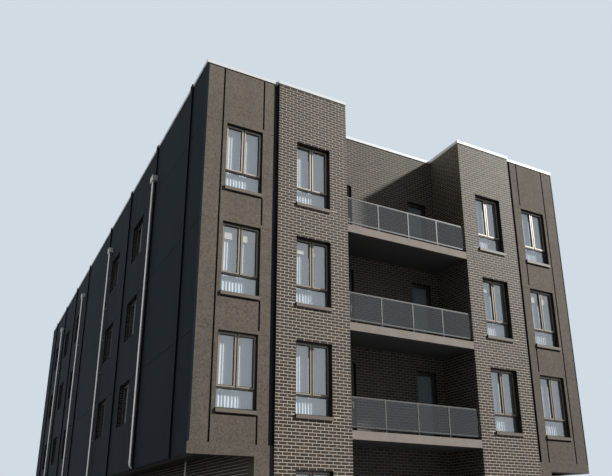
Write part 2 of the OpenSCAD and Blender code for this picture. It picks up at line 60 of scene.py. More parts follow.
# The level that parts 0 from 1 in a mask, and a face that looks along an axis from others
HALF = 0.5
# The corners of a unit square, in order round it
SQUARE = ((0, 0), (1, 0), (1, 1), (0, 1))
Colour = tuple[float, float, float, float]
Triple = tuple[float, float, float]
Pair = tuple[float, float]
WHITE: Colour = (1.0, 1.0, 1.0, 1.0)


def srgb(red: int, green: int, blue: int) -> Colour:
    """A display colour of 0 to 255 as the linear colour that a shader takes.

    A part c of the display colour is c / 12.92 up to 0.04045, and ((c + 0.055) / 1.055)^2.4 above.

    Args:
        red: Red part.
        green: Green part.
        blue: Blue part.

    Returns:
        The linear colour with an alpha of 1.
    """
    parts = np.array([red, green, blue]) / 255
    linear = np.where(parts <= 0.04045, parts / 12.92, ((parts + 0.055) / 1.055) ** 2.4)
    return (*(float(part) for part in linear), 1.0)


def math_node(operation: str, swapped: bool = False) -> "Callable[..., Signal]":
    """Makes a method of Signal that adds one Math node.

    Args:
        operation: The node's operation.
        swapped: Whether the other value comes before the signal, as in 1 - mask.

    Returns:
        The method.
    """

    def method(self: "Signal", *others: "Signal | float") -> "Signal":
        """The node's result."""
        values = (*others, self) if swapped else (self, *others)
        return self.graph.out("ShaderNodeMath", {"operation": operation}, dict(enumerate(values)))

    return method


class Signal:
    """A number, colour or vector that varies over a surface, as the socket that gives it.

    Each operator adds one Math node. A comparison gives a mask: 1 where it is true, and 0
    elsewhere. A remainder is never negative.
    """

    def __init__(self, graph: "Graph", socket: bpy.types.NodeSocket) -> None:
        """Keeps the socket and the graph that it belongs to."""
        self.graph = graph
        self.socket = socket

    __add__ = __radd__ = math_node("ADD")
    __sub__ = math_node("SUBTRACT")
    __rsub__ = math_node("SUBTRACT", swapped=True)
    __mul__ = __rmul__ = math_node("MULTIPLY")
    __truediv__ = math_node("DIVIDE")
    __mod__ = math_node("FLOORED_MODULO")
    __gt__ = math_node("GREATER_THAN")
    __lt__ = math_node("LESS_THAN")
    __abs__ = math_node("ABSOLUTE")
    floor = math_node("FLOOR")
    sign = math_node("SIGN")

    def within(self, low: float, high: float) -> "Signal":
        """1 where this lies between two levels, else 0."""
        return (self > low) * (self < high)

    def between(self, low: float, high: float) -> "Signal":
        """A smooth step that rises from 0 at low to 1 at high, or falls if low is above high."""
        sockets = {"Value": self, "From Min": low, "From Max": high}
        return self.graph.out("ShaderNodeMapRange", {"interpolation_type": "SMOOTHSTEP"}, sockets)


def either(*masks: Signal) -> Signal:
    """1 where at least one of the masks is 1, else 0."""
    return sum(masks) > HALF


class Graph:
    """The node tree of a material or of the world, built by plain calls."""

    def __init__(self, owner: "bpy.types.Material | bpy.types.World") -> None:
        """Keeps the owner and empties its node tree.

        Args:
            owner: The material or the world.
        """
        owner.use_nodes = True
        self.owner = owner
        self.tree = owner.node_tree
        self.tree.nodes.clear()

    def node(
        self, kind: str, settings: dict | None = None, sockets: dict | None = None
    ) -> bpy.types.Node:
        """Adds a node.

        Args:
            kind: The node's type.
            settings: Its settings, set first.
            sockets: Values or links of its inputs, by name or number.

        Returns:
            The new node.
        """
        made = self.tree.nodes.new(kind)
        for name, value in (settings or {}).items():
            setattr(made, name, value)
        for key, value in (sockets or {}).items():
            if isinstance(value, Signal):
                self.tree.links.new(value.socket, made.inputs[key])
            else:
                made.inputs[key].default_value = value
        return made

    def out(
        self, kind: str, settings: dict | None = None, sockets: dict | None = None, output: int | str = 0
    ) -> Signal:
        """Adds a node and gives one of its outputs.

        Args:
            kind: The node's type.
            settings: Its settings.
            sockets: Values or links of its inputs.
            output: Name or number of the output.

        Returns:
            That output as a signal.
        """
        return Signal(self, self.node(kind, settings, sockets).outputs[output])

    def axes(self, vector: Signal) -> tuple[Signal, Signal, Signal]:
        """The three parts of a vector."""
        split = self.node("ShaderNodeSeparateXYZ", {}, {0: vector})
        return tuple(Signal(self, split.outputs[axis]) for axis in range(3))

    def point(self) -> Signal:
        """The point on the surface, in the frame."""
        return self.out("ShaderNodeTexCoord", output="Object")

    def place(self) -> tuple[Signal, Signal, Signal]:
        """The three parts of the point on the surface."""
        return self.axes(self.point())

    def facing(self) -> tuple[Signal, Signal, Signal]:
        """The three parts of the surface's direction."""
        return self.axes(self.out("ShaderNodeTexCoord", output="Normal"))

    def noise(self, scale: float, detail: float, roughness: float, at: Signal | None = None) -> Signal:
        """Fractal noise about 0.5.

        Args:
            scale: Features per metre.
            detail: Number of octaves.
            roughness: Share of each finer octave.
            at: The point, if it isn't the one on the surface.

        Returns:
            The noise, from 0 to 1.
        """
        sockets = {"Vector": at or self.point(), "Scale": scale, "Detail": detail, "Roughness": roughness}
        return self.out("ShaderNodeTexNoise", {}, sockets, "Fac")

    def runs(self, x: float, y: float, z: float, detail: float = 4, roughness: float = 0.62) -> Signal:
        """Noise in streaks.

        Args:
            x: Features per metre along X.
            y: Features per metre along Y.
            z: Features per metre along Z.
            detail: Number of octaves.
            roughness: Share of each finer octave.

        Returns:
            The noise, from 0 to 1.
        """
        at = self.out("ShaderNodeVectorMath", {"operation": "MULTIPLY"}, {0: self.point(), 1: (x, y, z)})
        return self.noise(1.0, detail, roughness, at)

    def peel(self) -> Signal:
        """The fine orange peel of a sprayed coat."""
        return self.noise(scale=420, detail=2, roughness=0.5)

    def cells(self, scale: float) -> Signal:
        """Distance from the middle of a cell, in cells of that many per metre."""
        sockets = {"Vector": self.point(), "Scale": scale}
        return self.out("ShaderNodeTexVoronoi", {"feature": "F1"}, sockets, "Distance")

    def mix(self, factor: Signal, first: Signal | Colour, second: Signal | Colour) -> Signal:
        """The first colour where factor is 0, and the second where it is 1."""
        return self.out("ShaderNodeMix", {"data_type": "RGBA"}, {0: factor, 6: first, 7: second}, 2)

    def shade(self, colour: Signal | Colour, value: Signal) -> Signal:
        """A colour made lighter or darker by a number about 1."""
        vector = colour if isinstance(colour, Signal) else colour[:3]
        return self.out("ShaderNodeVectorMath", {"operation": "SCALE"}, {0: vector, "Scale": value})

    def bump(self, height: Signal, distance: float, strength: float) -> Signal:
        """The surface's direction, tilted by a height in units of distance."""
        sockets = {"Height": height, "Distance": distance, "Strength": strength}
        return self.out("ShaderNodeBump", {}, sockets)

    def seen(self) -> Signal:
        """Parts the rays by which the camera sees, directly or by metal or glass, from the others.

        Returns:
            1 for those rays, and 0 for light that falls on things.
        """
        path = self.node("ShaderNodeLightPath")
        rays = ("Is Camera Ray", "Is Glossy Ray", "Is Transmission Ray")
        return sum(Signal(self, path.outputs[ray]) for ray in rays).between(0.0, 1.0)

    def finish(self, **sockets: "Signal | Colour | float") -> bpy.types.Material:
        """Ends a material with a Principled shader.

        Args:
            **sockets: The shader's inputs, with _ for a space in their names.

        Returns:
            The material.
        """
        named = {name.replace("_", " "): value for name, value in sockets.items()}
        return self.end(self.out("ShaderNodeBsdfPrincipled", {}, named))

    def end(
        self, shader: Signal, output: str = "ShaderNodeOutputMaterial"
    ) -> "bpy.types.Material | bpy.types.World":
        """Joins a shader to an output node and gives back the tree's owner."""
        self.node(output, {}, {0: shader})
        return self.owner


@dataclass(frozen=True)
class Finish(ABC):
    """What a surface is made of."""

    name: str

    def material(self) -> bpy.types.Material:
        """The finish's material, made the first time that it is asked for."""
        made = bpy.data.materials.get(self.name)
        return made or self.paint(Graph(bpy.data.materials.new(self.name)))

    @abstractmethod
    def paint(self, graph: Graph) -> bpy.types.Material:
        """Builds the material.

        Args:
            graph: Its empty graph.

        Returns:
            The material.
        """


@dataclass(frozen=True)
class Bond:
    """Half bond brickwork: sizes of its bricks and joints, their tones and their grain."""

    course: float = 0.086
    module: float = 0.240
    joint: float = 0.016
    bed: float = 0.014
    proud: float = 0.0025
    unevenness: float = 0.0005
    embed: float = 0.004
    chamfer: float = 0.0015
    least_rest: float = 0.002
    least_length: float = 0.012
    least_height: float = 0.02
    tone: Pair = (0.5, 0.22)
    brick: Colour = srgb(60, 49, 40)
    brick_dark: Colour = srgb(42, 36, 31)
    brick_warm: Colour = srgb(80, 63, 48)
    mortar: Colour = srgb(218, 208, 190)

    @property
    def near_cut(self) -> float:
        """How close to a cut a brick reaches up to it: a joint and a hundredth of it."""
        return self.joint * 1.01

    def grain(self, graph: Graph) -> Signal:
        """The fine grain of fired clay."""
        return graph.noise(scale=90, detail=4, roughness=0.7)

    def clay(self, graph: Graph, colour: Signal, grain: Signal) -> Signal:
        """The colour of fired clay, darker and lighter by its grain."""
        return graph.shade(colour, 0.78 + 0.44 * grain)


BOND = Bond()


@dataclass(frozen=True)
class BrickFinish(Finish):
    """Fired brick with a tone of its own: fine grain, pits and a slight sheen."""

    def paint(self, graph: Graph) -> bpy.types.Material:
        """Tone from the mesh's own number, grain and pits from noise.

        Args:
            graph: An empty graph.

        Returns:
            The material.
        """
        tone = graph.out("ShaderNodeAttribute", {"attribute_name": "tone"}, {}, "Fac")
        grain, pits = BOND.grain(graph), graph.cells(130)
        base = graph.mix(tone.between(0.55, 1.0), BOND.brick, BOND.brick_warm)
        base = graph.mix(tone.between(0.45, 0.0), base, BOND.brick_dark)
        height = grain * 0.6 + pits.between(0.0, 0.35) * 0.4
        return graph.finish(
            Base_Color=BOND.clay(graph, base, grain),
            Roughness=0.5 + 0.25 * grain,
            Specular_IOR_Level=0.2,
            Normal=graph.bump(height, distance=0.0015, strength=0.6),
        )


@dataclass(frozen=True)
class BrickworkFinish(Finish):
    """A brick wall's own surface: mortar behind laid bricks, and whole brickwork elsewhere."""

    tower_x: float
    front_y: float
    recess_x: float
    back_y: float
    inner_x: float
    top_floor: float
    # Painted shade: the near black colour of the reveals, the towers' outer edges and faces that look up or
    # down
    reveal_shade: Colour = srgb(34, 32, 31)
    # Painted shade: the cooler, darker mortar of the recess below the top balcony
    recess_shade_mortar: Colour = srgb(146, 150, 152)
    reveal_depth: float = 0.20
    # Painted shade: share of the mortar's light left in the recess above the top balcony
    recess_shade: float = 0.62
    # Painted shade: share of the colour left on the side windows' jambs
    jamb_shade: float = 0.36
    edge: float = 0.01
    corner: float = 0.5
    behind_front: float = 0.05
    past_back: float = 0.1

    def reveals(self, graph: Graph) -> Signal:
        """1 on the reveals of the openings and on the towers' narrow outer edges, where shade is painted.

        Args:
            graph: The material's graph.

        Returns:
            The mask.
        """
        x, y, _ = graph.place()
        nx, ny, _ = graph.facing()
        outer = (abs(nx) > HALF) * abs(x).within(self.tower_x - self.edge, self.tower_x + self.edge)
        in_tower = (abs(y) > self.front_y - self.reveal_depth) * (abs(x) < self.tower_x - self.edge)
        past_recess = either(abs(x) > self.recess_x + self.edge, y > 0)
        deep = y.within(-self.back_y - self.edge, self.reveal_depth - self.back_y)
        in_recess = (abs(x) < self.recess_x - self.edge) * deep
        return either((abs(ny) < HALF) * (in_tower * past_recess + in_recess), outer)

    def joints(self, graph: Graph) -> Signal:
        """The mortar's colour with painted shade: dimmer in the recess, and cooler there below the top
        balcony.

        Args:
            graph: The material's graph.

        Returns:
            The colour.
        """
        x, y, z = graph.place()
        deep = y.within(self.behind_front - self.front_y, self.past_back - self.back_y)
        recess = (abs(x) < self.recess_x + self.edge) * deep
        # Painted shade in the recess: cooler mortar below the top balcony, and dimmer mortar above it
        low = recess * (z < self.top_floor)
        light = 1 - recess * (1 - low) * (1 - self.recess_shade)
        return graph.shade(graph.mix(low, BOND.mortar, self.recess_shade_mortar), light)

    def shaded_jambs(self, graph: Graph) -> Signal:
        """How light the brick and mortar are: painted shade makes them dark on the jambs of the side
        windows.

        Args:
            graph: The material's graph.

        Returns:
            A factor of the colour, 1 away from the jambs.
        """
        x, y, _ = graph.place()
        jambs = (abs(x) > self.inner_x - self.edge) * (abs(y) < self.front_y - self.corner)
        return 1 - jambs * (1 - self.jamb_shade)

    def paint(self, graph: Graph) -> bpy.types.Material:
        """Courses in z, and modules in y from the front or in x from a tower's outer edge.

        Args:
            graph: An empty graph.

        Returns:
            The material.
        """
        x, y, z = graph.place()
        nx, ny, nz = graph.facing()
        across = abs(nx) > HALF
        run = across * (self.front_y - abs(y)) + (1 - across) * (self.tower_x - abs(x))
        rise = z - BOND.bed
        row = (rise / BOND.course).floor()
        run = run - (row % 2) * (BOND.module / 2)
        in_length = run % BOND.module < BOND.module - BOND.joint
        in_height = rise % BOND.course < BOND.course - BOND.joint
        towards = (ny * y.sign() > HALF) * (abs(x) < self.tower_x + self.edge / 2)
        recess = across * (abs(x) < self.recess_x + self.edge / 2)
        brick = in_length * in_height * (1 - either(towards, recess))
        spot = graph.out("ShaderNodeCombineXYZ", {}, {0: (run / BOND.module).floor(), 1: row, 2: across})
        tone = graph.out("ShaderNodeTexWhiteNoise", {"noise_dimensions": "3D"}, {0: spot}, "Value")
        grain, sand = BOND.grain(graph), graph.noise(scale=260, detail=2, roughness=0.6)
        face = graph.mix(tone.between(0.2, 1.0), BOND.brick_dark, BOND.brick_warm)
        face = BOND.clay(graph, face, grain)
        mortar = graph.shade(self.joints(graph), 0.8 + 0.34 * sand)
        # Painted shade darkens the side windows' jambs
        wall = graph.shade(graph.mix(brick, mortar, face), self.shaded_jambs(graph))
        # Painted shade on the reveals, the towers' outer edges and faces that look up or down
        shaded_faces = either(self.reveals(graph), abs(nz) > HALF)
        return graph.finish(
            Base_Color=graph.mix(shaded_faces, wall, graph.shade(self.reveal_shade, 0.85 + 0.3 * grain)),
            Roughness=0.92 - 0.22 * brick - 0.3 * shaded_faces,
            Specular_IOR_Level=0.2,
            Normal=graph.bump(brick * 0.8 + grain * 0.2, distance=0.004, strength=0.5),
        )


@dataclass(frozen=True)
class RenderFinish(Finish):
    """Coloured render with a pebbly throw and faint runs of rain; painted shade darkens its grooves,
    reveals, undersides and lower storeys.
    """

    colour: Colour
    light: Colour
    dark: Colour
    tower_x: float
    front_y: float
    band_top: float
    # Painted shade: the near black colour of the grooves, the bays' reveals and faces that look down
    groove_shade: Colour = srgb(27, 26, 26)
    # Painted shade towards the bottom: how much darker the render gets, and over what height above the band
    low_shade: float = 0.16
    shade_rise: float = 8.0
    groove: Pair = (0.012, 0.20)
    below_band: float = 0.03

    def grooves(self, graph: Graph) -> Signal:
        """1 in the grooves, on the reveals of the bays and on faces that look down, where shade is painted.

        Args:
            graph: The material's graph.

        Returns:
            The mask.
        """
        x, y, z = graph.place()
        _, _, nz = graph.facing()
        deep = (self.front_y - abs(y)).within(*self.groove)
        bays = (abs(x) > self.tower_x) * (z > self.band_top - self.below_band)
        return either(deep * bays, nz < -HALF)

    def paint(self, graph: Graph) -> bpy.types.Material:
        """Pebbles are small cells; clouds are broad noise; runs are noise stretched in z.

        Args:
            graph: An empty graph.

        Returns:
            The material.
        """
        _, _, z = graph.place()
        pebble = graph.cells(85)
        grit = graph.noise(scale=220, detail=3, roughness=0.65)
        clouds = graph.noise(scale=1.6, detail=4, roughness=0.6)
        coarse = graph.noise(scale=14, detail=4, roughness=0.8)
        speck = graph.noise(scale=34, detail=2, roughness=0.6)
        runs = graph.runs(9, 9, 0.35, roughness=0.6)
        base = graph.mix(clouds.between(0.35, 0.7), self.colour, self.light)
        base = graph.mix(speck.between(0.50, 0.66) * 0.6, base, self.dark)
        base = graph.mix(runs.between(0.52, 0.8) * 0.22, base, self.dark)
        # Painted shade: darker towards the lower storeys
        low = z.between(self.band_top + self.shade_rise, self.band_top)
        base = graph.shade(base, 1 - self.low_shade * low)
        colour = graph.shade(base, 0.28 + 0.25 * grit + 1.25 * coarse)
        height = pebble.between(0.75, 0.1) * 0.7 + grit * 0.3
        return graph.finish(
            # Painted shade in the grooves, on the bays' reveals and under faces that look down
            Base_Color=graph.mix(self.grooves(graph), colour, self.groove_shade),
            Roughness=0.9,
            Specular_IOR_Level=0.25,
            Normal=graph.bump(height, distance=0.004, strength=0.55),
        )


@dataclass(frozen=True)
class CoatedMetalFinish(Finish):
    """Coated sheet metal: an even colour, a soft sheen, slight waves and a little dust."""

    colour: Colour
    roughness: float = 0.42
    metallic: float = 0.0
    waves: float = 0.0
    dust: Colour = srgb(120, 118, 112)
    dusty: float = 0.12
    gloss: float = 0.5
    gleam: Colour = WHITE

    def paint(self, graph: Graph) -> bpy.types.Material:
        """Waves are noise at about a metre, dust lies in runs down the sheet.

        Args:
            graph: An empty graph.

        Returns:
            The material.
        """
        wave = graph.noise(scale=0.9, detail=2, roughness=0.4)
        runs = graph.runs(5, 5, 0.25)
        patch = graph.noise(scale=0.45, detail=3, roughness=0.55)
        colour = graph.mix(runs.between(0.45, 0.85) * self.dusty, self.colour, self.dust)
        height = wave * self.waves + graph.peel() * 0.02
        return graph.finish(
            Base_Color=graph.shade(colour, 0.9 + 0.2 * patch),
            Metallic=self.metallic,
            Specular_IOR_Level=self.gloss,
            Specular_Tint=self.gleam,
            Roughness=self.roughness - 0.06 + 0.14 * runs,
            Normal=graph.bump(height, distance=0.01, strength=0.35),
        )


@dataclass(frozen=True)
class FrameFinish(Finish):
    """Bronze window frames with champagne sashes in front, and darker ones at the sides as painted shade.
    """

    # Frames behind the sashes: bronze, darker in part as painted shade of their recess
    frame: Colour
    sash: Colour
    tall_y: float
    side_x: float
    top_floor: float
    # Painted sunlight: the paler sashes of the top floor
    lit_top_sash: Colour = srgb(188, 176, 158)
    # Painted shade: the darker frames and sashes of the side windows
    side: Colour = srgb(58, 56, 54)
    shaded_side_sash: Colour = srgb(84, 80, 75)
    forward: float = 0.006
    corner: float = 0.5

    def paint(self, graph: Graph) -> bpy.types.Material:
        """A sash stands forward of its frame's front face, and is painted paler on the top floor as painted
        sunlight.

        Args:
            graph: An empty graph.

        Returns:
            The material.
        """
        x, y, z = graph.place()
        # Painted sunlight on the top floor's sashes
        sash = graph.mix(z > self.top_floor, self.sash, self.lit_top_sash)
        tall = graph.mix(abs(y) > self.tall_y + self.forward, self.frame, sash)
        # Painted shade on the side windows' frames and sashes
        side = graph.mix(abs(x) > self.side_x + self.forward, self.side, self.shaded_side_sash)
        runs = graph.runs(9, 9, 0.8)
        colour = graph.mix(abs(y) < self.tall_y - self.corner, tall, side)
        return graph.finish(
            Base_Color=graph.shade(colour, 0.88 + 0.24 * runs),
            Metallic=0.2,
            Roughness=0.30 + 0.14 * runs,
            Normal=graph.bump(graph.peel(), distance=0.0004, strength=0.3),
        )


@dataclass(frozen=True)
class RailingFinish(Finish):
    """Mid-grey railing steel, with a dark bottom rail and foot, and the end post on the left painted pale
    as painted sunlight.
    """

    colour: Colour
    # The left end post's colour: painted sunlight
    pale: Colour
    dark: Colour
    end_x: float
    floors: tuple[float, ...]
    foot: float = 0.108
    under: float = 0.01

    def paint(self, graph: Graph) -> bpy.types.Material:
        """The foot is what lies less than its height above a balcony's floor.

        Args:
            graph: An empty graph.

        Returns:
            The material.
        """
        x, _, z = graph.place()
        low = sum(z.within(floor - self.under, floor + self.foot) for floor in self.floors)
        # Painted sunlight on the left end post of the two upper balconies
        post = (x < self.end_x) * (z > self.floors[1] - self.under)
        runs = graph.runs(12, 12, 1.5)
        colour = graph.mix(post, graph.mix(low, self.colour, self.dark), self.pale)
        return graph.finish(
            Base_Color=graph.shade(colour, 0.86 + 0.28 * runs),
            Metallic=0.1 * (1 - post),
            Roughness=0.36 + 0.12 * runs,
            Normal=graph.bump(graph.peel(), distance=0.0004, strength=0.3),
        )


@dataclass(frozen=True)
class CopingFinish(Finish):
    """White sheet copings with fine sealed joints and faint dust."""

    colour: Colour
    joint: Colour = srgb(120, 120, 118)
    length: float = 3.0
    gap: float = 0.006

    def paint(self, graph: Graph) -> bpy.types.Material:
        """A joint at each whole number of lengths in Y, and halfway between them in X.

        Args:
            graph: An empty graph.

        Returns:
            The material.
        """
        x, y, _ = graph.place()
        joint = either((x + self.length / 2) % self.length < self.gap, y % self.length < self.gap)
        runs = graph.runs(5, 5, 3)
        dust = graph.noise(scale=3.0, detail=5, roughness=0.65)
        value = 0.95 + 0.06 * runs - 0.07 * dust.between(0.5, 0.8)
        return graph.finish(
            Base_Color=graph.shade(graph.mix(joint, self.colour, self.joint), value),
            Roughness=0.36 + 0.2 * dust,
            Normal=graph.bump(1 - joint, distance=0.003, strength=0.5),
        )


@dataclass(frozen=True)
class ConcreteFinish(Finish):
    """Cast and painted concrete: board clouds, air holes, drips, and a darker colour underneath as painted
    shade.
    """

    colour: Colour
    dark: Colour
    # Painted shade on faces that look down
    under: Colour = srgb(96, 90, 84)

    def paint(self, graph: Graph) -> bpy.types.Material:
        """Clouds are broad noise, and holes are the cores of sparse cells.

        Args:
            graph: An empty graph.

        Returns:
            The material.
        """
        _, _, nz = graph.facing()
        clouds = graph.noise(scale=2.2, detail=5, roughness=0.6)
        fine = graph.noise(scale=60, detail=4, roughness=0.65)
        holes = graph.cells(28).between(0.10, 0.04)
        drips = graph.runs(7, 7, 0.6, roughness=0.6)
        colour = graph.mix(clouds.between(0.3, 0.75) * 0.5, self.colour, self.dark)
        colour = graph.mix(drips.between(0.55, 0.8) * 0.3, colour, self.dark)
        return graph.finish(
            # Painted shade: faces that look down take the darker under colour
            Base_Color=graph.shade(graph.mix(nz < -HALF, colour, self.under), 0.92 + 0.16 * fine),
            Roughness=0.82,
            Normal=graph.bump(fine * 0.5 - holes * 0.8, distance=0.003, strength=0.5),
        )


@dataclass(frozen=True)
class SoffitFinish(Finish):
    """Dark soffit boards with fine joints along Y."""

    colour: Colour
    board: float = 0.145
    gap: float = 0.006

    def paint(self, graph: Graph) -> bpy.types.Material:
        """A joint where x passes each whole number of boards.

        Args:
            graph: An empty graph.

        Returns:
            The material.
        """
        x, _, _ = graph.place()
        joint = x % self.board < self.gap
        grain = graph.runs(60, 2.0, 60, roughness=0.6)
        height = (1 - joint) * 0.8 + grain * 0.2
        return graph.finish(
            Base_Color=graph.shade(self.colour, (0.8 + 0.5 * grain) * (1 - 0.8 * joint)),
            Roughness=0.6,
            Normal=graph.bump(height, distance=0.003, strength=0.6),
        )


@dataclass(frozen=True)
class MembraneFinish(Finish):
    """Roofing felt in lapped strips with mineral grit."""

    colour: Colour
    strip: float = 1.0
    lap: float = 0.08
    edge: float = 0.012

    def paint(self, graph: Graph) -> bpy.types.Material:
        """Strips run along X, and each laps the next one in Y.

        Args:
            graph: An empty graph.

        Returns:
            The material.
        """
        _, y, _ = graph.place()
        lap, edge = (y % self.strip < reach for reach in (self.lap, self.edge))
        grit = graph.noise(scale=300, detail=3, roughness=0.7)
        clouds = graph.noise(scale=0.7, detail=5, roughness=0.6)
        stain = graph.noise(scale=2.4, detail=4, roughness=0.6).between(0.5, 0.75)
        colour = graph.shade(self.colour, 0.75 + 0.35 * clouds + 0.16 * grit)
        return graph.finish(
            Base_Color=graph.shade(colour, 1 - 0.25 * edge - 0.08 * lap - 0.14 * stain),
            Roughness=0.9,
            Normal=graph.bump(lap * 0.6 + grit * 0.3, distance=0.004, strength=0.6),
        )


@dataclass(frozen=True)
class GlassFinish(Finish):
    """Clear glass that lets the lamps through and mirrors more at a slant."""

    tint: Colour
    mirror: Colour = WHITE
    index: float = 1.5
    roughness: float = 0.02

    def paint(self, graph: Graph) -> bpy.types.Material:
        """A clear and a mirror shader mixed by the share that glass reflects, with faint waves.

        Only the side that looks outwards mirrors, because the clear shader doesn't bend the light.

        Args:
            graph: An empty graph.

        Returns:
            The material.
        """
        wave = graph.noise(scale=1.3, detail=2, roughness=0.5)
        clear = graph.out("ShaderNodeBsdfTransparent", {}, {"Color": self.tint})
        ripple = graph.bump(wave, distance=0.004, strength=0.15)
        sockets = {"Color": self.mirror, "Roughness": self.roughness, "Normal": ripple}
        mirror = graph.out("ShaderNodeBsdfGlossy", {}, sockets)
        outer = 1 - graph.out("ShaderNodeNewGeometry", output="Backfacing")
        share = graph.out("ShaderNodeFresnel", {}, {"IOR": self.index}) * outer
        return graph.end(graph.out("ShaderNodeMixShader", {}, {0: share, 1: clear, 2: mirror}))


@dataclass(frozen=True)
class CurtainFinish(Finish):
    """Sheer woven curtain cloth."""

    colour: Colour
    thread: float = 900.0

    def paint(self, graph: Graph) -> bpy.types.Material:
        """Threads cross in the cloth's own UV map, which is in metres.

        Args:
            graph: An empty graph.

        Returns:
            The material.
        """
        along, up, _ = graph.axes(graph.out("ShaderNodeUVMap", {"uv_map": "cloth"}))
        warp, weft = (abs((way * self.thread) % 1.0 - HALF) for way in (along, up))
        slub = graph.runs(40, 40, 2, detail=3, roughness=0.6)
        return graph.finish(
            Base_Color=graph.shade(self.colour, 0.86 + 0.2 * slub),
            Roughness=0.85,
            Normal=graph.bump(warp + weft, distance=0.0004, strength=0.3),
        )


class Facing(Enum):
    """A way that a face looks: its directions along the face, outward, and up the face."""

    FRONT = ((1, 0, 0), (0, -1, 0), (0, 0, 1))
    REAR = ((-1, 0, 0), (0, 1, 0), (0, 0, 1))
    LEFT = ((0, -1, 0), (-1, 0, 0), (0, 0, 1))
    RIGHT = ((0, 1, 0), (1, 0, 0), (0, 0, 1))
    UP = ((1, 0, 0), (0, 0, 1), (0, 1, 0))

    @property
    def along(self) -> np.ndarray:
        """Unit vector along the face, to the right of someone who looks at it."""
        return np.array(self.value[0], float)

    @property
    def outward(self) -> np.ndarray:
        """Unit vector out of the face."""
        return np.array(self.value[1], float)

    def points(self, local: np.ndarray) -> np.ndarray:
        """Points of (along, outward, up) as points of the frame."""
        return local @ np.array(self.value, float)

    def rectangles(self, boxes: np.ndarray) -> np.ndarray:
        """Boxes as rectangles on the face.

        Args:
            boxes: The boxes, (n, 2, 3).

        Returns:
            The rectangles, (n, 4): low and high along the face, low and high in z.
        """
        along = boxes @ self.along
        return np.stack([along.min(axis=1), along.max(axis=1), boxes[:, 0, 2], boxes[:, 1, 2]], axis=1)

    def on_side(self, boxes: np.ndarray) -> np.ndarray:
        """Those of the boxes whose middles lie on the side of the building that looks this way."""
        return boxes[boxes.mean(axis=1) @ self.outward > 0]


@dataclass
class Shape:
    """A mesh in the making: points, faces, and numbers on the points.

    A face has four corners, or three and then -1.
    """

    points: np.ndarray
    quads: np.ndarray
    numbers: dict[str, np.ndarray] = field(default_factory=dict)
    uv: np.ndarray | None = None

    @staticmethod
    def joined(shapes: Iterable["Shape"]) -> "Shape":
        """Joins shapes that carry the same numbers.

        Args:
            shapes: The shapes.

        Returns:
            All of them as one.
        """
        parts = list(shapes)
        starts = np.cumsum([0] + [len(part.points) for part in parts[:-1]])
        quads = [np.where(part.quads < 0, -1, part.quads + start) for part, start in zip(parts, starts)]
        labels = parts[0].numbers
        numbers = {label: np.concatenate([part.numbers[label] for part in parts]) for label in labels}
        uv = None if parts[0].uv is None else np.concatenate([part.uv for part in parts])
        return Shape(np.concatenate([part.points for part in parts]), np.concatenate(quads), numbers, uv)

    def placed(self, facing: Facing) -> "Shape":
        """The shape with (along, outward, up) turned into the frame."""
        return Shape(facing.points(self.points), self.quads, self.numbers, self.uv)

    def mirrored(self) -> "Shape":
        """Mirrors the shape in x = 0 and turns each face's order round.

        Returns:
            The shape in the other half of the building, its faces still outwards.
        """
        three = self.quads[:, 3:] < 0
        turned = np.where(three, self.quads[:, [2, 1, 0, 3]], self.quads[:, ::-1])
        return Shape(self.points * np.array([-1, 1, 1.0]), turned, self.numbers, self.uv)

    def both_sides(self) -> "Shape":
        """The shape in both halves of the building."""
        return Shape.joined([self, self.mirrored()])

    def piece(self, name: str, finish: Finish, slot: str, smooth: bool = False) -> bpy.types.Object:
        """Makes the Blender object.

        Args:
            name: The piece's name.
            finish: Its finish.
            slot: The record's material slot; not used.
            smooth: Whether its faces are shaded as one.

        Returns:
            The object, riding on the building.
        """
        mesh = bpy.data.meshes.new(name)
        mesh.vertices.add(len(self.points))
        mesh.vertices.foreach_set("co", self.points.astype(np.float32).ravel())
        loops = self.quads.ravel()[self.quads.ravel() >= 0].astype(np.int32)
        counts = (self.quads >= 0).sum(axis=1)
        mesh.loops.add(len(loops))
        mesh.loops.foreach_set("vertex_index", loops)
        mesh.polygons.add(len(self.quads))
        mesh.polygons.foreach_set("loop_start", (np.cumsum(counts) - counts).astype(np.int32))
        mesh.update(calc_edges=True)
        for label, values in self.numbers.items():
            layer = mesh.attributes.new(label, "FLOAT", "POINT")
            layer.data.foreach_set("value", values.astype(np.float32))
        if self.uv is not None:
            layer = mesh.uv_layers.new(name="cloth")
            layer.data.foreach_set("uv", self.uv[loops].astype(np.float32).ravel())
        mesh.polygons.foreach_set("use_smooth", np.full(len(self.quads), smooth))
        made = bpy.data.objects.new(name, mesh)
        bpy.context.scene.collection.objects.link(made)
        made.data.materials.append(finish.material())
        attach(made, BODY)
        LOG.info("%s: %d faces", name, len(self.quads))
        return made


def strips(rings: np.ndarray, closed: bool) -> np.ndarray:
    """Faces between rings of points, numbered ring by ring.

    Args:
        rings: Numbers of the points, (rings, points round a ring).
        closed: Whether the last ring joins the first.

    Returns:
        The faces, (n, 4).
    """
    after = np.roll(rings, -1, axis=0)
    if not closed:
        rings, after = rings[:-1], after[:-1]
    beside, after_beside = (np.roll(line, -1, axis=1) for line in (rings, after))
    return np.stack([rings, beside, after_beside, after], axis=2).reshape(-1, 4)


def sheet_faces(rows: int, columns: int) -> np.ndarray:
    """Faces of an open sheet whose points are numbered row by row.

    Args:
        rows: Number of rows of points.
        columns: Number of points in a row.

    Returns:
        The faces, (n, 4).
    """
    index = np.arange(rows * columns).reshape(rows, columns)
    low, high = index[:-1], index[1:]
    return np.stack([low[:, :-1], low[:, 1:], high[:, 1:], high[:, :-1]], axis=2).reshape(-1, 4)


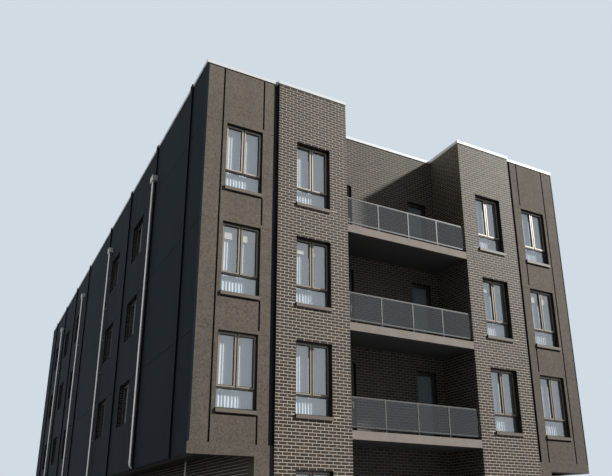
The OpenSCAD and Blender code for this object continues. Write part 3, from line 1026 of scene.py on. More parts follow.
def copies(points: np.ndarray, quads: np.ndarray) -> Shape:
    """Joins meshes of one make.

    Args:
        points: The points of each, (n, points of one, 3).
        quads: The faces that each of them has, (m, 4).

    Returns:
        All of them as one shape.
    """
    count, each = points.shape[:2]
    full = np.where(quads < 0, -1, quads + each * np.arange(count)[:, None, None])
    return Shape(points.reshape(-1, 3), full.reshape(-1, 4))


def blocks(boxes: Sequence, chamfer: float) -> Shape:
    """Chamfered blocks, all made at once.

    A corner is three points, one on each face that meets there, held in from the corner by the
    chamfer along the face's own two axes. So a block has 6 faces, 12 chamfers and 8 corners.

    Args:
        boxes: Lowest and highest corner of each, (n, 2, 3).
        chamfer: Width of the chamfer.

    Returns:
        The blocks as one shape.
    """
    boxes = np.array(boxes, float)
    low, size = boxes[:, :1], boxes[:, 1:] - boxes[:, :1]
    corner = np.array([[i, j, k] for k in (0, 1) for j in (0, 1) for i in (0, 1)])
    across = np.repeat(corner, 3, axis=0)
    held_in = np.tile(1 - np.eye(3), (8, 1)) * (1 - 2 * across) * chamfer

    def number(axis: int, end: int, s: int, t: int, face: int) -> int:
        """Number of the point on the face across an axis, near the corner (end, s, t)."""
        i, j, k = np.roll([end, s, t], axis)
        return 3 * (i + 2 * j + 4 * k) + face

    faces = []
    for a in range(3):
        b, c = (a + 1) % 3, (a + 2) % 3
        for end in (0, 1):
            ring = [number(a, end, s, t, a) for s, t in SQUARE]
            faces.append(ring if end else ring[::-1])
        for s, t in SQUARE:
            ring = [number(a, end, s, t, face) for end, face in ((0, b), (1, b), (1, c), (0, c))]
            faces.append(ring if s != t else ring[::-1])
    for i, j, k in corner:
        ring = [number(0, i, j, k, face) for face in range(3)]
        faces.append((ring if (i + j + k) % 2 else ring[::-1]) + [-1])
    return copies(low + across * size + held_in, np.array(faces))


def ribbon(outer: np.ndarray, inner: np.ndarray, start: float, stop: float) -> Shape:
    """A strip between two lines in (outward, up), carried along a face.

    Args:
        outer: One line of the section, (n, 2).
        inner: The other line, (n, 2), on the left of someone who walks along the outer one.
        start: Where the strip starts.
        stop: Where it stops.

    Returns:
        The closed strip in (along, outward, up).
    """
    section = np.concatenate([outer, inner[::-1]])
    count, n = len(section), len(outer)
    ends = [np.column_stack([np.full(count, at), section]) for at in (start, stop)]
    i = np.arange(n - 1)
    cap = np.stack([i, i + 1, count - 2 - i, count - 1 - i], axis=1)
    sides = strips(np.arange(2 * count).reshape(2, count), closed=False)
    return Shape(np.concatenate(ends), np.concatenate([sides, cap[:, ::-1], cap + count]))


def revolved(profile: np.ndarray, places: Sequence, sides: int = 24) -> Shape:
    """Bands round upright axes: a closed (radius, up) profile turned about each place.

    Point (i, j) is (r_j cos t_i, r_j sin t_i, z_j) with t_i = 2 pi i / sides.

    Args:
        profile: The profile, (n, 2), anticlockwise.
        places: Where the axes stand, (m, 3).
        sides: Number of sides.

    Returns:
        The bands as one shape.
    """
    turn = 2 * np.pi * np.arange(sides) / sides
    radius, up = profile[:, 0], np.tile(profile[:, 1], (sides, 1))
    band = np.stack([np.outer(np.cos(turn), radius), np.outer(np.sin(turn), radius), up], axis=2)
    faces = strips(np.arange(up.size).reshape(up.shape), closed=True)[:, ::-1]
    return copies(np.array(places)[:, None] + band.reshape(-1, 3), faces)


def studs(places: Sequence, facing: Facing, radius: float, height: float) -> Shape:
    """Low round heads on a face, each with eight sides and a chamfered rim.

    The rings are the foot, the rim at 0.6 of the height, and the top at 0.7 of the radius.

    Args:
        places: Where the heads' feet are, (n, 3).
        facing: The way that they look.
        radius: Radius of a foot.
        height: Height of a head.

    Returns:
        The heads as one shape.
    """
    turn = 2 * np.pi * np.arange(8) / 8
    rings = [(radius, 0.0), (radius, 0.6 * height), (0.7 * radius, height)]
    head = [np.column_stack([r * np.cos(turn), np.full(8, out), r * np.sin(turn)]) for r, out in rings]
    caps = np.array([[0, 1, 2, 3], [0, 3, 4, 7], [4, 5, 6, 7]])
    body = strips(np.arange(24).reshape(3, 8), closed=False)
    faces = np.concatenate([body, caps[:, ::-1], caps + 16])
    return copies(np.array(places)[:, None] + facing.points(np.concatenate(head)), faces)


def swept(path: np.ndarray, profile: np.ndarray) -> Shape:
    """A closed section carried round a closed path with mitred corners.

    The path runs anticlockwise in plan. A section's point (d, z) lies d to the left of each edge,
    so at a corner it moves by d times (n1 + n2) / (1 + n1.n2), with n1 and n2 the edges' normals.

    Args:
        path: Corners in plan, (m, 2).
        profile: Section, (k, 2): distance from the path and height, anticlockwise.

    Returns:
        The closed shape.
    """
    edge = np.roll(path, -1, axis=0) - path
    edge /= np.linalg.norm(edge, axis=1, keepdims=True)
    normal = np.column_stack([-edge[:, 1], edge[:, 0]])
    before = np.roll(normal, 1, axis=0)
    mitre = (before + normal) / (1 + (before * normal).sum(axis=1, keepdims=True))
    plan = path[:, None] + mitre[:, None] * profile[None, :, :1]
    up = np.broadcast_to(profile[None, :, 1:], (*plan.shape[:2], 1))
    points = np.concatenate([plan, up], axis=2).reshape(-1, 3)
    rings = np.arange(len(points)).reshape(len(path), len(profile))
    return Shape(points, strips(rings, closed=True))


def boxed_rings(rectangles: np.ndarray, rings: Sequence[tuple]) -> np.ndarray:
    """Four points round each rectangle at each of a few depths.

    Args:
        rectangles: Low and high along the face, low and high in z, (n, 4).
        rings: Outward place and inset of each ring, each place one number or n.

    Returns:
        The points, (n, 4 times the rings, 3), in (along, outward, up).
    """
    points = []
    for depth, inset in rings:
        for s, t in SQUARE:
            along = rectangles[:, s] + (-inset if s else inset)
            up = rectangles[:, 2 + t] + (-inset if t else inset)
            points.append(np.stack([along, np.broadcast_to(depth, len(rectangles)), up], axis=1))
    return np.stack(points, axis=1)


def solids(node: str) -> np.ndarray:
    """Boxes of the separate solids of a CAD node.

    Points at one place are one point, and each triangle gives its three points the lowest label
    among them until no label changes.

    Args:
        node: The node's name.

    Returns:
        The boxes, (n, 2, 3): lowest and highest corners.
    """
    mesh = frame["nodes"][node].data
    places = np.zeros(len(mesh.vertices) * 3, np.float32)
    mesh.vertices.foreach_get("co", places)
    mesh.calc_loop_triangles()
    triangles = np.zeros(len(mesh.loop_triangles) * 3, np.int32)
    mesh.loop_triangles.foreach_get("vertices", triangles)
    places, same = np.unique(places.reshape(-1, 3).round(4), axis=0, return_inverse=True)
    triangles = same.ravel()[triangles].reshape(-1, 3)
    labels = np.arange(len(places))
    while True:
        least = labels[triangles].min(axis=1)
        before = labels.copy()
        for corner in range(3):
            np.minimum.at(labels, triangles[:, corner], least)
        labels = labels[labels]
        if (labels == before).all():
            break
    found = [places[labels == label] for label in np.unique(labels[triangles])]
    return np.array([[part.min(axis=0), part.max(axis=0)] for part in found], float)


@dataclass(frozen=True)
class Block:
    """The building's main places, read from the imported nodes."""

    clad_x: float
    front_y: float
    brick_y: float
    tower_x: float
    recess_x: float
    back_y: float
    lower_x: float
    inner_x: float
    brick_top: float
    render_top: float
    band_top: float
    roof_z: float
    soffit_z: float
    frame_y: float
    frame_x: float
    tall: np.ndarray
    side: np.ndarray
    doors: np.ndarray
    sills: np.ndarray
    hoppers: np.ndarray
    balconies: tuple[float, ...]

    @staticmethod
    def read() -> "Block":
        """Reads the boxes of the nodes.

        Returns:
            The places; the right half's are those of the left, mirrored.
        """
        tower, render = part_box("front_left_brick_wall"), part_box("front_left_render_wall")
        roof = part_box("roof_slab")[1]
        return Block(
            clad_x=-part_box("left_cladding")[0].x,
            front_y=-render[0].y,
            brick_y=-tower[0].y,
            tower_x=-tower[0].x,
            recess_x=-tower[1].x,
            back_y=-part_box("recess_back_wall")[0].y,
            lower_x=float(-solids("lower_side_walls")[:, 0, 0].min()),
            inner_x=roof.x,
            brick_top=tower[1].z,
            render_top=render[1].z,
            band_top=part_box("channel_strips")[0].z,
            roof_z=roof.z,
            soffit_z=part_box("overhang_soffits")[0].z,
            frame_y=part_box("tall_window_glass")[1].y + PANE_SET,
            frame_x=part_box("side_window_glass")[1].x + PANE_SET,
            tall=solids("tall_window_frames"),
            side=solids("side_window_frames"),
            doors=solids("balcony_door_frames"),
            sills=solids("window_sills"),
            hoppers=solids("rain_hoppers"),
            balconies=tuple(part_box(f"balcony_slab_{number}")[1].z for number in (1, 2, 3)),
        )


@dataclass
class BrickFace:
    """Bricks laid on one upright face of a wall."""

    facing: Facing
    plane: float
    span: Pair
    levels: Pair
    start: float
    holes: np.ndarray = field(default_factory=lambda: np.zeros((0, 4)))
    wrap: Pair = (0.0, 0.0)
    mirror: bool = False
    seed: int = 1
    at_end: float = 1e-4

    def laid(self) -> np.ndarray:
        """Lays the bricks without the holes.

        Brick j of course k starts at start + (j + k/2 mod 1) modules. It is cut at the ends of the
        face, and reaches to the far one if it ends within a joint of it.

        Returns:
            The bricks, (n, 4): low and high along the face, low and high in z.
        """
        (left, right), (low, high) = self.span, self.levels
        first, last = (math.floor((z - BOND.bed) / BOND.course) for z in self.levels)
        low_j = math.floor((left - self.start) / BOND.module) - 1
        high_j = math.ceil((right - self.start) / BOND.module) + 1
        k, j = np.meshgrid(np.arange(first, last + 1), np.arange(low_j, high_j), indexing="ij")
        k, j = k.ravel(), j.ravel()
        u = self.start + (j + (k % 2) / 2) * BOND.module
        z = BOND.bed + k * BOND.course
        laid = np.stack([u, u + BOND.module - BOND.joint, z, z + BOND.course - BOND.joint], axis=1)
        laid[:, 0] = laid[:, 0].clip(left)
        laid[:, 1] = np.where(laid[:, 1] > right - BOND.near_cut, right, laid[:, 1])
        laid[:, 2:] = laid[:, 2:].clip(low, high)
        return laid[(laid[:, 1] > laid[:, 0]) & (laid[:, 3] > laid[:, 2])]

    def rectangles(self) -> np.ndarray:
        """Cuts the bricks round each hole, and leaves out the slivers.

        A brick whose middle is level with a hole is cut beside it, and another one that reaches
        into it is cut over or under it. One that ends within a joint of a hole reaches to it.

        Returns:
            The bricks, (n, 4): low and high along the face, low and high in z.
        """
        laid = self.laid()
        for left, right, low, high in self.holes:
            middle = (laid[:, 2] + laid[:, 3]) / 2
            meets = (laid[:, 1] > left - BOND.near_cut) & (laid[:, 0] < right)
            meets &= (laid[:, 3] > low) & (laid[:, 2] < high)
            laid[meets & (middle >= high), 2] = high
            laid[meets & (middle <= low), 3] = low
            level = meets & (middle > low) & (middle < high)
            before, after = laid[level].copy(), laid[level].copy()
            before[:, 1] = left
            after[:, 0] = right
            laid = np.concatenate([laid[~level], before, after])
            laid = laid[laid[:, 1] - laid[:, 0] > BOND.least_rest]
        lengths, heights = laid[:, 1] - laid[:, 0], laid[:, 3] - laid[:, 2]
        return laid[(lengths > BOND.least_length) & (heights > BOND.least_height)]

    def shape(self) -> Shape:
        """Builds every brick as a closed block whose front edges are chamfered.

        A brick has three rings of four points: the back ring lies in the wall, the middle one at
        the foot of the chamfer, and the front one is held in by it.

        Returns:
            The bricks as one shape, each with its own tone.
        """
        laid = self.rectangles()
        random = np.random.default_rng(self.seed)
        wrapped = laid.copy()
        wrapped[:, 0] -= self.wrap[0] * (laid[:, 0] < self.span[0] + self.at_end)
        wrapped[:, 1] += self.wrap[1] * (laid[:, 1] > self.span[1] - self.at_end)
        proud = BOND.proud + random.uniform(-BOND.unevenness, BOND.unevenness, len(laid)) + self.plane
        rings = ((self.plane - BOND.embed, 0.0), (proud - BOND.chamfer, 0.0), (proud, BOND.chamfer))
        faces = [[3, 2, 1, 0], [8, 9, 10, 11], *strips(np.arange(12).reshape(3, 4), closed=False)]
        shape = copies(boxed_rings(wrapped, rings), np.array(faces)).placed(self.facing)
        shape.numbers["tone"] = np.repeat(random.normal(*BOND.tone, len(laid)).clip(0, 1), 12)
        return shape.mirrored() if self.mirror else shape


@dataclass
class Brickwork:
    """The building's laid bricks, face by face."""

    block: Block
    brick: Finish = BrickFinish("laid_brick")
    slabs: tuple[str, ...] = ("balcony_slab_1", "balcony_slab_2", "balcony_slab_3", "porch_slab")
    wrap: float = BOND.proud - BOND.unevenness
    mirror_seed: int = 20

    def windows(self, facing: Facing, span: Pair) -> np.ndarray:
        """Holes of the tall windows and sills on a face.

        Args:
            facing: The way that the face looks.
            span: The stretch along it where their middles lie.

        Returns:
            The holes, (n, 4).
        """
        boxes = facing.on_side(np.concatenate([self.block.tall, self.block.sills]))
        middle = boxes.mean(axis=1) @ facing.along
        return facing.rectangles(boxes[(middle > span[0]) & (middle < span[1])])

    def slab_holes(self, facing: Facing) -> np.ndarray:
        """Holes of the balcony slabs and the porch slab on a face of the recess."""
        return facing.rectangles(np.array([[*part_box(slab)] for slab in self.slabs]))

    def left_faces(self) -> dict[str, BrickFace]:
        """The left half's faces: a tower's front and inner side, and the ground storey's side.

        Returns:
            Each face, by the name of its piece.
        """
        block = self.block
        levels, front = (0, block.brick_top), (-block.tower_x, -block.recess_x)
        inner = (-block.brick_y, -block.back_y)
        wall = solids("lower_side_walls")[0]
        return {
            "front_{}_bricks": BrickFace(
                Facing.FRONT, block.brick_y, front, levels, -block.tower_x,
                self.windows(Facing.FRONT, (-block.tower_x, 0)), wrap=(0, self.wrap),
            ),
            "recess_{}_bricks": BrickFace(
                Facing.RIGHT, -block.recess_x, inner, levels, -block.brick_y,
                self.slab_holes(Facing.RIGHT), wrap=(self.wrap, 0), seed=2,
            ),
            "lower_{}_bricks": BrickFace(
                Facing.LEFT, block.lower_x, (wall[0, 1], wall[1, 1]), (0, block.soffit_z),
                -block.brick_y, seed=5,
            ),
        }

    def whole_faces(self) -> dict[str, BrickFace]:
        """The faces that span both halves: the recess's back wall and the rear.

        Returns:
            Each face, by the name of its piece.
        """
        block = self.block
        back, rear = (-block.recess_x, block.recess_x), (-block.tower_x, block.tower_x)
        doors = Facing.FRONT.rectangles(block.doors)
        return {
            "recess_back_bricks": BrickFace(
                Facing.FRONT, block.back_y, back, (0, block.render_top), -block.recess_x,
                np.concatenate([doors, self.slab_holes(Facing.FRONT)]), seed=3,
            ),
            "rear_bricks": BrickFace(
                Facing.REAR, block.brick_y, rear, (0, block.brick_top), -block.tower_x,
                self.windows(Facing.REAR, rear), seed=4,
            ),
        }

    def build(self) -> None:
        """Makes the pieces of laid brick, those of the left half also mirrored with other tones."""
        for name, face in self.left_faces().items():
            face.shape().piece(name.format("left"), self.brick, "brick")
            face.mirror = True
            face.seed += self.mirror_seed
            face.shape().piece(name.format("right"), self.brick, "brick")
        for name, face in self.whole_faces().items():
            face.shape().piece(name, self.brick, "brick")


@dataclass
class Curtains:
    """Sheer curtains hung in folds behind every pane, one piece for each face and storey."""

    block: Block
    finish: Finish = CurtainFinish("curtain_cloth", srgb(238, 241, 246))
    fold: float = 0.09
    depth: float = 0.011
    at_track: float = 0.62
    steps: int = 8
    rows: int = 7
    drift: float = 0.35
    drift_waves: Pair = (1.5, 2.5)
    uneven: float = 0.12
    swing: Pair = (0.006, 0.003)
    slow: float = 0.37
    storey: float = 3.1
    low_sill: float = 0.5
    first_seed: int = 100

    def hang(self, box: np.ndarray, facing: Facing, seed: int) -> tuple[Shape, float]:
        """Hangs one curtain in the box of its solid.

        The cloth's depth is a sine of the way along it, whose phase drifts and whose size grows
        from the track to the hem. The hem also swings by a few millimetres, and the track doesn't.

        Args:
            box: Lowest and highest corner of the space.
            facing: The way that the front of the curtain looks.
            seed: Seed of its drift.

        Returns:
            The curtain, and the width that it was cut to.
        """
        random = np.random.default_rng(seed)
        along = np.sort(box @ facing.along)
        middle = (box @ facing.outward).mean()
        low, high = box[0, 2], box[1, 2]
        folds = max(3, round((along[1] - along[0]) / self.fold))
        share = np.linspace(0, 1, folds * self.steps + 1)
        waves = share * random.uniform(*self.drift_waves) + random.random()
        drift = self.drift * np.sin(2 * np.pi * waves)
        phase = 2 * np.pi * (share * folds) + drift
        s, h = np.meshgrid(share, np.linspace(0, 1, self.rows))
        uneven = 1 + self.uneven * np.sin(2 * np.pi * random.random())
        size = self.depth * (self.at_track + (1 - self.at_track) * (1 - h)) * uneven
        u = along[0] + s * (along[1] - along[0]) + self.swing[0] * np.sin(2 * phase) * (1 - h)
        n = middle + size * np.sin(phase) + self.swing[1] * np.sin(self.slow * phase) * (1 - h)
        points = np.stack([u, n, low + h * (high - low)], axis=2).reshape(-1, 3)
        cut = np.hypot(np.diff(u[0]), np.diff(n[0])).sum()
        uv = np.stack([s * cut, h * (high - low)], axis=2).reshape(-1, 2)
        return Shape(facing.points(points), sheet_faces(*s.shape), {}, uv), float(cut)

    def groups(self, boxes: np.ndarray) -> dict[tuple[str, int], tuple[Facing, list[int]]]:
        """Sorts the curtains' solids by the face that they hang behind and by storey.

        Args:
            boxes: Boxes of the solids, (n, 2, 3).

        Returns:
            For each face's name and storey, the face's direction and the numbers of the boxes.
        """
        groups: dict[tuple[str, int], tuple[Facing, list[int]]] = {}
        for number, (low, high) in enumerate(boxes):
            centre, size = (low + high) / 2, high - low
            if size[0] < size[1]:
                name, facing = ("left_side", Facing.LEFT) if centre[0] < 0 else ("right_side", Facing.RIGHT)
            elif centre[1] > 0:
                name, facing = "rear", Facing.REAR
            else:
                name, facing = ("door" if centre[1] > -self.block.back_y else "front"), Facing.FRONT
            storey = int((centre[2] - self.low_sill) // self.storey)
            groups.setdefault((name, storey), (facing, []))[1].append(number)
        return groups

    def build(self) -> None:
        """Makes the curtains, a piece for each face and storey, and hides the imported curtains."""
        boxes = solids("curtains")
        groups = self.groups(boxes)
        for name, storey in sorted(groups):
            facing, numbers = groups[name, storey]
            hung = [self.hang(boxes[n], facing, self.first_seed + n) for n in numbers]
            cloth = Shape.joined(shape for shape, _ in hung)
            piece = cloth.piece(f"{name}_curtains_{storey}", self.finish, "curtain", smooth=True)
        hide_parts("curtains")


SKY_GLEAM: Colour = (0.46, 0.55, 0.64, 1.0)
FINISHES = {
    # Concrete with painted shade underneath: a little darker under the floors, near black under the
    # balconies
    "concrete": ConcreteFinish("slab_concrete", srgb(128, 122, 114), srgb(96, 90, 84)),
    "fascia": ConcreteFinish("balcony_fascia", srgb(150, 139, 128), srgb(122, 112, 102), srgb(26, 25, 24)),
    "roof": MembraneFinish("roof_membrane", srgb(128, 129, 129)),
    "cladding": CoatedMetalFinish(
        "charcoal_cladding", srgb(39, 45, 51), 0.62, waves=0.9, gloss=0.015, dusty=0.05, gleam=SKY_GLEAM
    ),
    "ribs": CoatedMetalFinish(
        "charcoal_ribs", srgb(33, 38, 44), 0.6, gloss=0.02, dusty=0.04, gleam=SKY_GLEAM
    ),
    "channel": CoatedMetalFinish("channel_metal", srgb(32, 33, 40), 0.5, gloss=0.2),
    "soffit": SoffitFinish("soffit_boards", srgb(34, 31, 29)),
    "coping": CopingFinish("white_coping", srgb(240, 240, 239)),
    "steel": CoatedMetalFinish("zinc_steel", srgb(196, 193, 188), 0.42, metallic=0.6, dusty=0.06),
    "sill": CoatedMetalFinish("taupe_sills", srgb(116, 105, 93), 0.45, dusty=0.08, gloss=0.3),
    # Door frames in a darker bronze as painted shade of the recess
    "door": CoatedMetalFinish("shaded_bronze_doors", srgb(58, 53, 49), 0.38, metallic=0.25, dusty=0.04),
    "window": GlassFinish("window_glass", (0.95, 0.97, 0.97, 1.0), index=3.2),
    "door_glass": GlassFinish("door_glass", (0.80, 0.83, 0.84, 1.0), index=1.7),
    "rail_glass": GlassFinish("railing_glass", (0.84, 0.86, 0.85, 1.0), (1.0, 0.98, 0.95, 1.0), 1.75),
    "track": CoatedMetalFinish("curtain_track", srgb(225, 224, 220), 0.5),
}
RUBBER = CoatedMetalFinish("black_rubber", srgb(24, 24, 25), 0.7, dusty=0.03, gloss=0.2)
CREAM = CoatedMetalFinish("cream_enamel", srgb(226, 214, 192), 0.35, dusty=0.03)
NICKEL = CoatedMetalFinish("satin_nickel", srgb(170, 168, 162), 0.3, metallic=0.85, dusty=0.03)

DRESSED = {
    "concrete": ("ground_slab", "first_floor", "second_floor", "third_floor", "porch_slab"),
    "fascia": ("balcony_slab_1", "balcony_slab_2", "balcony_slab_3"),
    "roof": ("roof_slab",),
    "render": ("front_left_render_wall", "front_right_render_wall", "rear_render_walls", "corner_pillars"),
    "cladding": ("left_cladding", "right_cladding"),
    "ribs": ("cladding_ribs",),
    "channel": ("channel_strips",),
    "soffit": ("overhang_soffits",),
    "coping": ("copings",),
    "railing": ("railing_1", "railing_2", "railing_3"),
    "steel": ("rain_hoppers", "downpipes", "pipe_brackets"),
    "bronze": ("tall_window_frames", "side_window_frames"),
    "sill": ("window_sills",),
    "door": ("balcony_door_frames",),
    "window": ("tall_window_glass", "side_window_glass"),
    "door_glass": ("balcony_door_glass",),
    "rail_glass": ("railing_glass",),
    "track": ("curtain_tracks",),
}


@dataclass
class Blinds:
    """Cream roller blinds, part drawn, behind the panes of one storey's front windows."""

    block: Block
    cloth: Finish = CurtainFinish("blind_cloth", srgb(246, 238, 220), thread=600.0)
    storey: int = 2
    reach: float = 3.0
    drop: float = 0.40
    side_room: float = 0.050
    head: float = 0.030
    behind: float = 0.010
    bow: float = 0.004
    hem: float = 0.010
    hem_clear: float = 0.001
    hem_over: float = 0.002
    steps: int = 12

    def build(self) -> None:
        """Makes the blinds and their hem bars.

        A blind hangs straight but for a bow of a few millimetres, a half sine across its width
        that grows towards the hem.
        """
        floor = self.block.balconies[self.storey - 1]
        windows = Facing.FRONT.on_side(self.block.tall)
        windows = windows[(windows[:, 0, 2] > floor) & (windows[:, 1, 2] < floor + self.reach)]
        plane = -solids("tall_window_glass")[:, 1, 1].min() - self.behind
        share = np.linspace(0, 1, self.steps + 1)
        s, h = np.meshgrid(share, share)
        cloths, bars, widths = [], [], []
        for low, high in windows:
            wide = high[0] - low[0] - 2 * self.side_room
            top = high[2] - self.head
            u = low[0] + self.side_room + s * wide
            n = plane + self.bow * np.sin(np.pi * s) * (1 - h)
            points = Facing.FRONT.points(np.stack([u, n, top - self.drop * (1 - h)], axis=2).reshape(-1, 3))
            uv = np.stack([s * wide, h * self.drop], axis=2).reshape(-1, 2)
            cloths.append(Shape(points, sheet_faces(*s.shape), {}, uv))
            foot = top - self.drop
            outer = (u.min(), -plane - self.hem, foot - self.hem)
            bars.append([outer, (u.max(), -plane - self.hem_clear, foot + self.hem_over)])
            widths.append(wide)
        cloth = Shape.joined(cloths).piece("roller_blinds", self.cloth, "curtain", smooth=True)
        bar = blocks(bars, chamfer=0.002).piece("blind_hem_bars", CREAM, "white_metal")


@dataclass
class Gaskets:
    """Black rubber round every pane, just inside the glazing beads."""

    block: Block
    face: float = 0.036
    sash: float = 0.042
    bead: float = 0.012
    transom: float = 0.520
    door_rail: float = 0.110
    sash_proud: float = 0.012
    width: float = 0.006
    height: float = 0.006

    def sashes(self, frames: np.ndarray, low: np.ndarray) -> np.ndarray:
        """The glass of a pair of sashes.

        Args:
            frames: Outlines of the window frames, (n, 4).
            low: Level that the sashes of each stand on.

        Returns:
            Outlines of the glass, (2n, 4).
        """
        left, right = frames[:, 0] + self.face, frames[:, 1] - self.face
        middle, room = (left + right) / 2, self.sash
        inner = self.face / 2 + room
        bottom, top = low + room, frames[:, 3] - self.face - room
        pairs = ((left + room, middle - inner), (middle + inner, right - room))
        return np.concatenate([np.stack([*pair, bottom, top], axis=1) for pair in pairs])

    def tall(self, frames: np.ndarray) -> np.ndarray:
        """The glass of tall windows: a pair of sashes over a fixed light.

        Args:
            frames: Outlines of the window frames, (n, 4).

        Returns:
            Outlines of the glass, (3n, 4).
        """
        foot = frames[:, 2]
        sides = (frames[:, 0] + self.face, frames[:, 1] - self.face)
        fixed = np.stack([*sides, foot + self.face, foot + self.transom], axis=1)
        return np.concatenate([self.sashes(frames, foot + self.transom + self.face), fixed])

    def side(self, frames: np.ndarray) -> np.ndarray:
        """The glass of side windows, a pair of sashes each."""
        return self.sashes(frames, frames[:, 2] + self.face)

    def door(self, frames: np.ndarray) -> np.ndarray:
        """The glass of balcony doors, over a bottom rail."""
        room = self.face + self.sash
        return frames + np.array([room, -room, room + self.door_rail, -room])

    def build(self) -> None:
        """Makes the gaskets of the tall windows, the side windows and the balcony doors."""
        kinds = (
            (Facing.FRONT, self.block.tall, self.tall),
            (Facing.REAR, self.block.tall, self.tall),
            (Facing.LEFT, self.block.side, self.side),
            (Facing.RIGHT, self.block.side, self.side),
            (Facing.FRONT, self.block.doors, self.door),
        )
        shapes = []
        for facing, boxes, glass in kinds:
            boxes = facing.on_side(boxes)
            lights = glass(facing.rectangles(boxes)) + self.bead * np.array([1, -1, 1, -1])
            back = (boxes @ facing.outward).max(axis=1) - self.sash_proud - PANE_SET
            back = np.tile(back, len(lights) // len(boxes))
            front = back + self.height
            rings = ((back, 0.0), (front, 0.0), (front, self.width), (back, self.width))
            faces = strips(np.arange(16).reshape(4, 4), closed=True)
            shapes.append(copies(boxed_rings(lights, rings), faces).placed(facing))
        Shape.joined(shapes).piece("glazing_gaskets", RUBBER, "dark_metal")


@dataclass
class RailingBolts:
    """Bolt heads on the base plates of the railing posts."""

    block: Block
    bays: int = 4
    post: float = 0.036
    over: float = 0.020
    plate: float = 0.008
    radius: float = 0.006
    height: float = 0.006

    def build(self) -> None:
        """Places a bolt near each free corner of each plate."""
        places = []
        step = (2 * self.block.recess_x - self.post) / self.bays
        margin = self.over / 2
        for number, floor in enumerate(self.block.balconies, 1):
            low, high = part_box(f"railing_{number}")
            for k in range(self.bays + 1):
                left = -self.block.recess_x + k * step
                sides = [left - margin] * (k > 0) + [left + self.post + margin] * (k < self.bays)
                ends = (low.y + margin, high.y - margin)
                places += [(x, y, floor + self.plate) for x in sides for y in ends]
        bolts = studs(places, Facing.UP, self.radius, self.height)
        bolts.piece("railing_bolts", NICKEL, "grey_metal")


@dataclass
class Rainwater:
    """Sockets and clamp screws of the downpipes, and rivets and seams of the hoppers."""

    block: Block
    pipe: float = 0.040
    band: float = 0.048
    overlap: float = 0.003
    clear: float = 0.001
    ear: float = 0.016
    ear_thick: float = 0.010
    screw: Pair = (0.005, 0.004)
    socket: float = 0.060
    step: float = 2.4
    first: float = 1.1
    last: float = 0.3
    lip: float = 0.004
    swell: float = 0.007
    shoulder: float = 0.010
    rim: float = 0.008
    rim_height: float = 0.024
    collar: float = 0.030
    seam: float = 0.006
    seam_foot: float = 0.002
    seam_width: float = 0.020
    rivet: Pair = (0.004, 0.002)
    rivet_end: float = 0.02
    rivets: int = 4

    def sockets(self) -> Shape:
        """Makes swollen sockets at equal steps up each pipe.

        Returns:
            The sockets of both sides.
        """
        top = self.socket
        profile = np.array([
            (-self.clear, 0), (self.lip, 0), (self.swell, self.lip),
            (self.swell, top - self.shoulder), (self.lip, top), (-self.clear, top),
        ])
        places = []
        for low, high in Facing.LEFT.on_side(solids("downpipes")):
            levels = np.arange(low[2] + self.first, high[2] - self.last, self.step)
            places += [(low[0] + self.pipe, (low[1] + high[1]) / 2, z) for z in levels]
        return revolved(profile + np.array([self.pipe, 0]), places).both_sides()

    def clamps(self) -> Shape:
        """Makes ears on both sides of each bracket's band, with a screw head on each.

        Returns:
            The ears and screws of both sides.
        """
        ears, screws = [], []
        half = self.ear_thick / 2
        for low, high in Facing.LEFT.on_side(solids("pipe_brackets")):
            x, y, z = low[0] + self.band, (low[1] + high[1]) / 2, (low[2] + high[2]) / 2
            for side in (-1, 1):
                ends = sorted((y + side * (self.band - self.overlap), y + side * (self.band + self.ear)))
                corner = (x + half, ends[1], high[2] - self.clear)
                ears.append([(x - half, ends[0], low[2] + self.clear), corner])
                screws.append((x - half, y + side * (self.band + self.ear / 2), z))
        heads = studs(screws, Facing.LEFT, *self.screw)
        return Shape.joined([blocks(ears, chamfer=0.0015), heads]).both_sides()

    def hopper_trim(self) -> Shape:
        """Makes upright seams at a hopper's outer corners, and rivets on them.

        Returns:
            The seams and rivets of both sides.
        """
        seams, rivets = [], []
        for low, high in Facing.LEFT.on_side(self.block.hoppers):
            face, foot, top = low[0] + self.rim, low[2] + self.collar, high[2] - self.rim_height
            levels = np.linspace(foot + self.rivet_end, top - self.rivet_end, self.rivets)
            for side, y in ((1, low[1] + self.rim), (-1, high[1] - self.rim)):
                ends = sorted((y, y + side * self.seam_width))
                corner = (face + self.seam_foot, ends[1], top - self.clear)
                seams.append([(face - self.seam / 2, ends[0], foot + self.seam_foot), corner])
                rivets += [(face - self.seam / 2, y + side * self.seam_width / 2, z) for z in levels]
        heads = studs(rivets, Facing.LEFT, *self.rivet)
        return Shape.joined([blocks(seams, chamfer=0.001), heads]).both_sides()

    def build(self) -> None:
        """Makes the pieces."""
        steel = FINISHES["steel"]
        self.sockets().piece("downpipe_sockets", steel, "grey_metal")
        self.clamps().piece("bracket_clamps", steel, "grey_metal")
        self.hopper_trim().piece("hopper_trim", steel, "grey_metal")


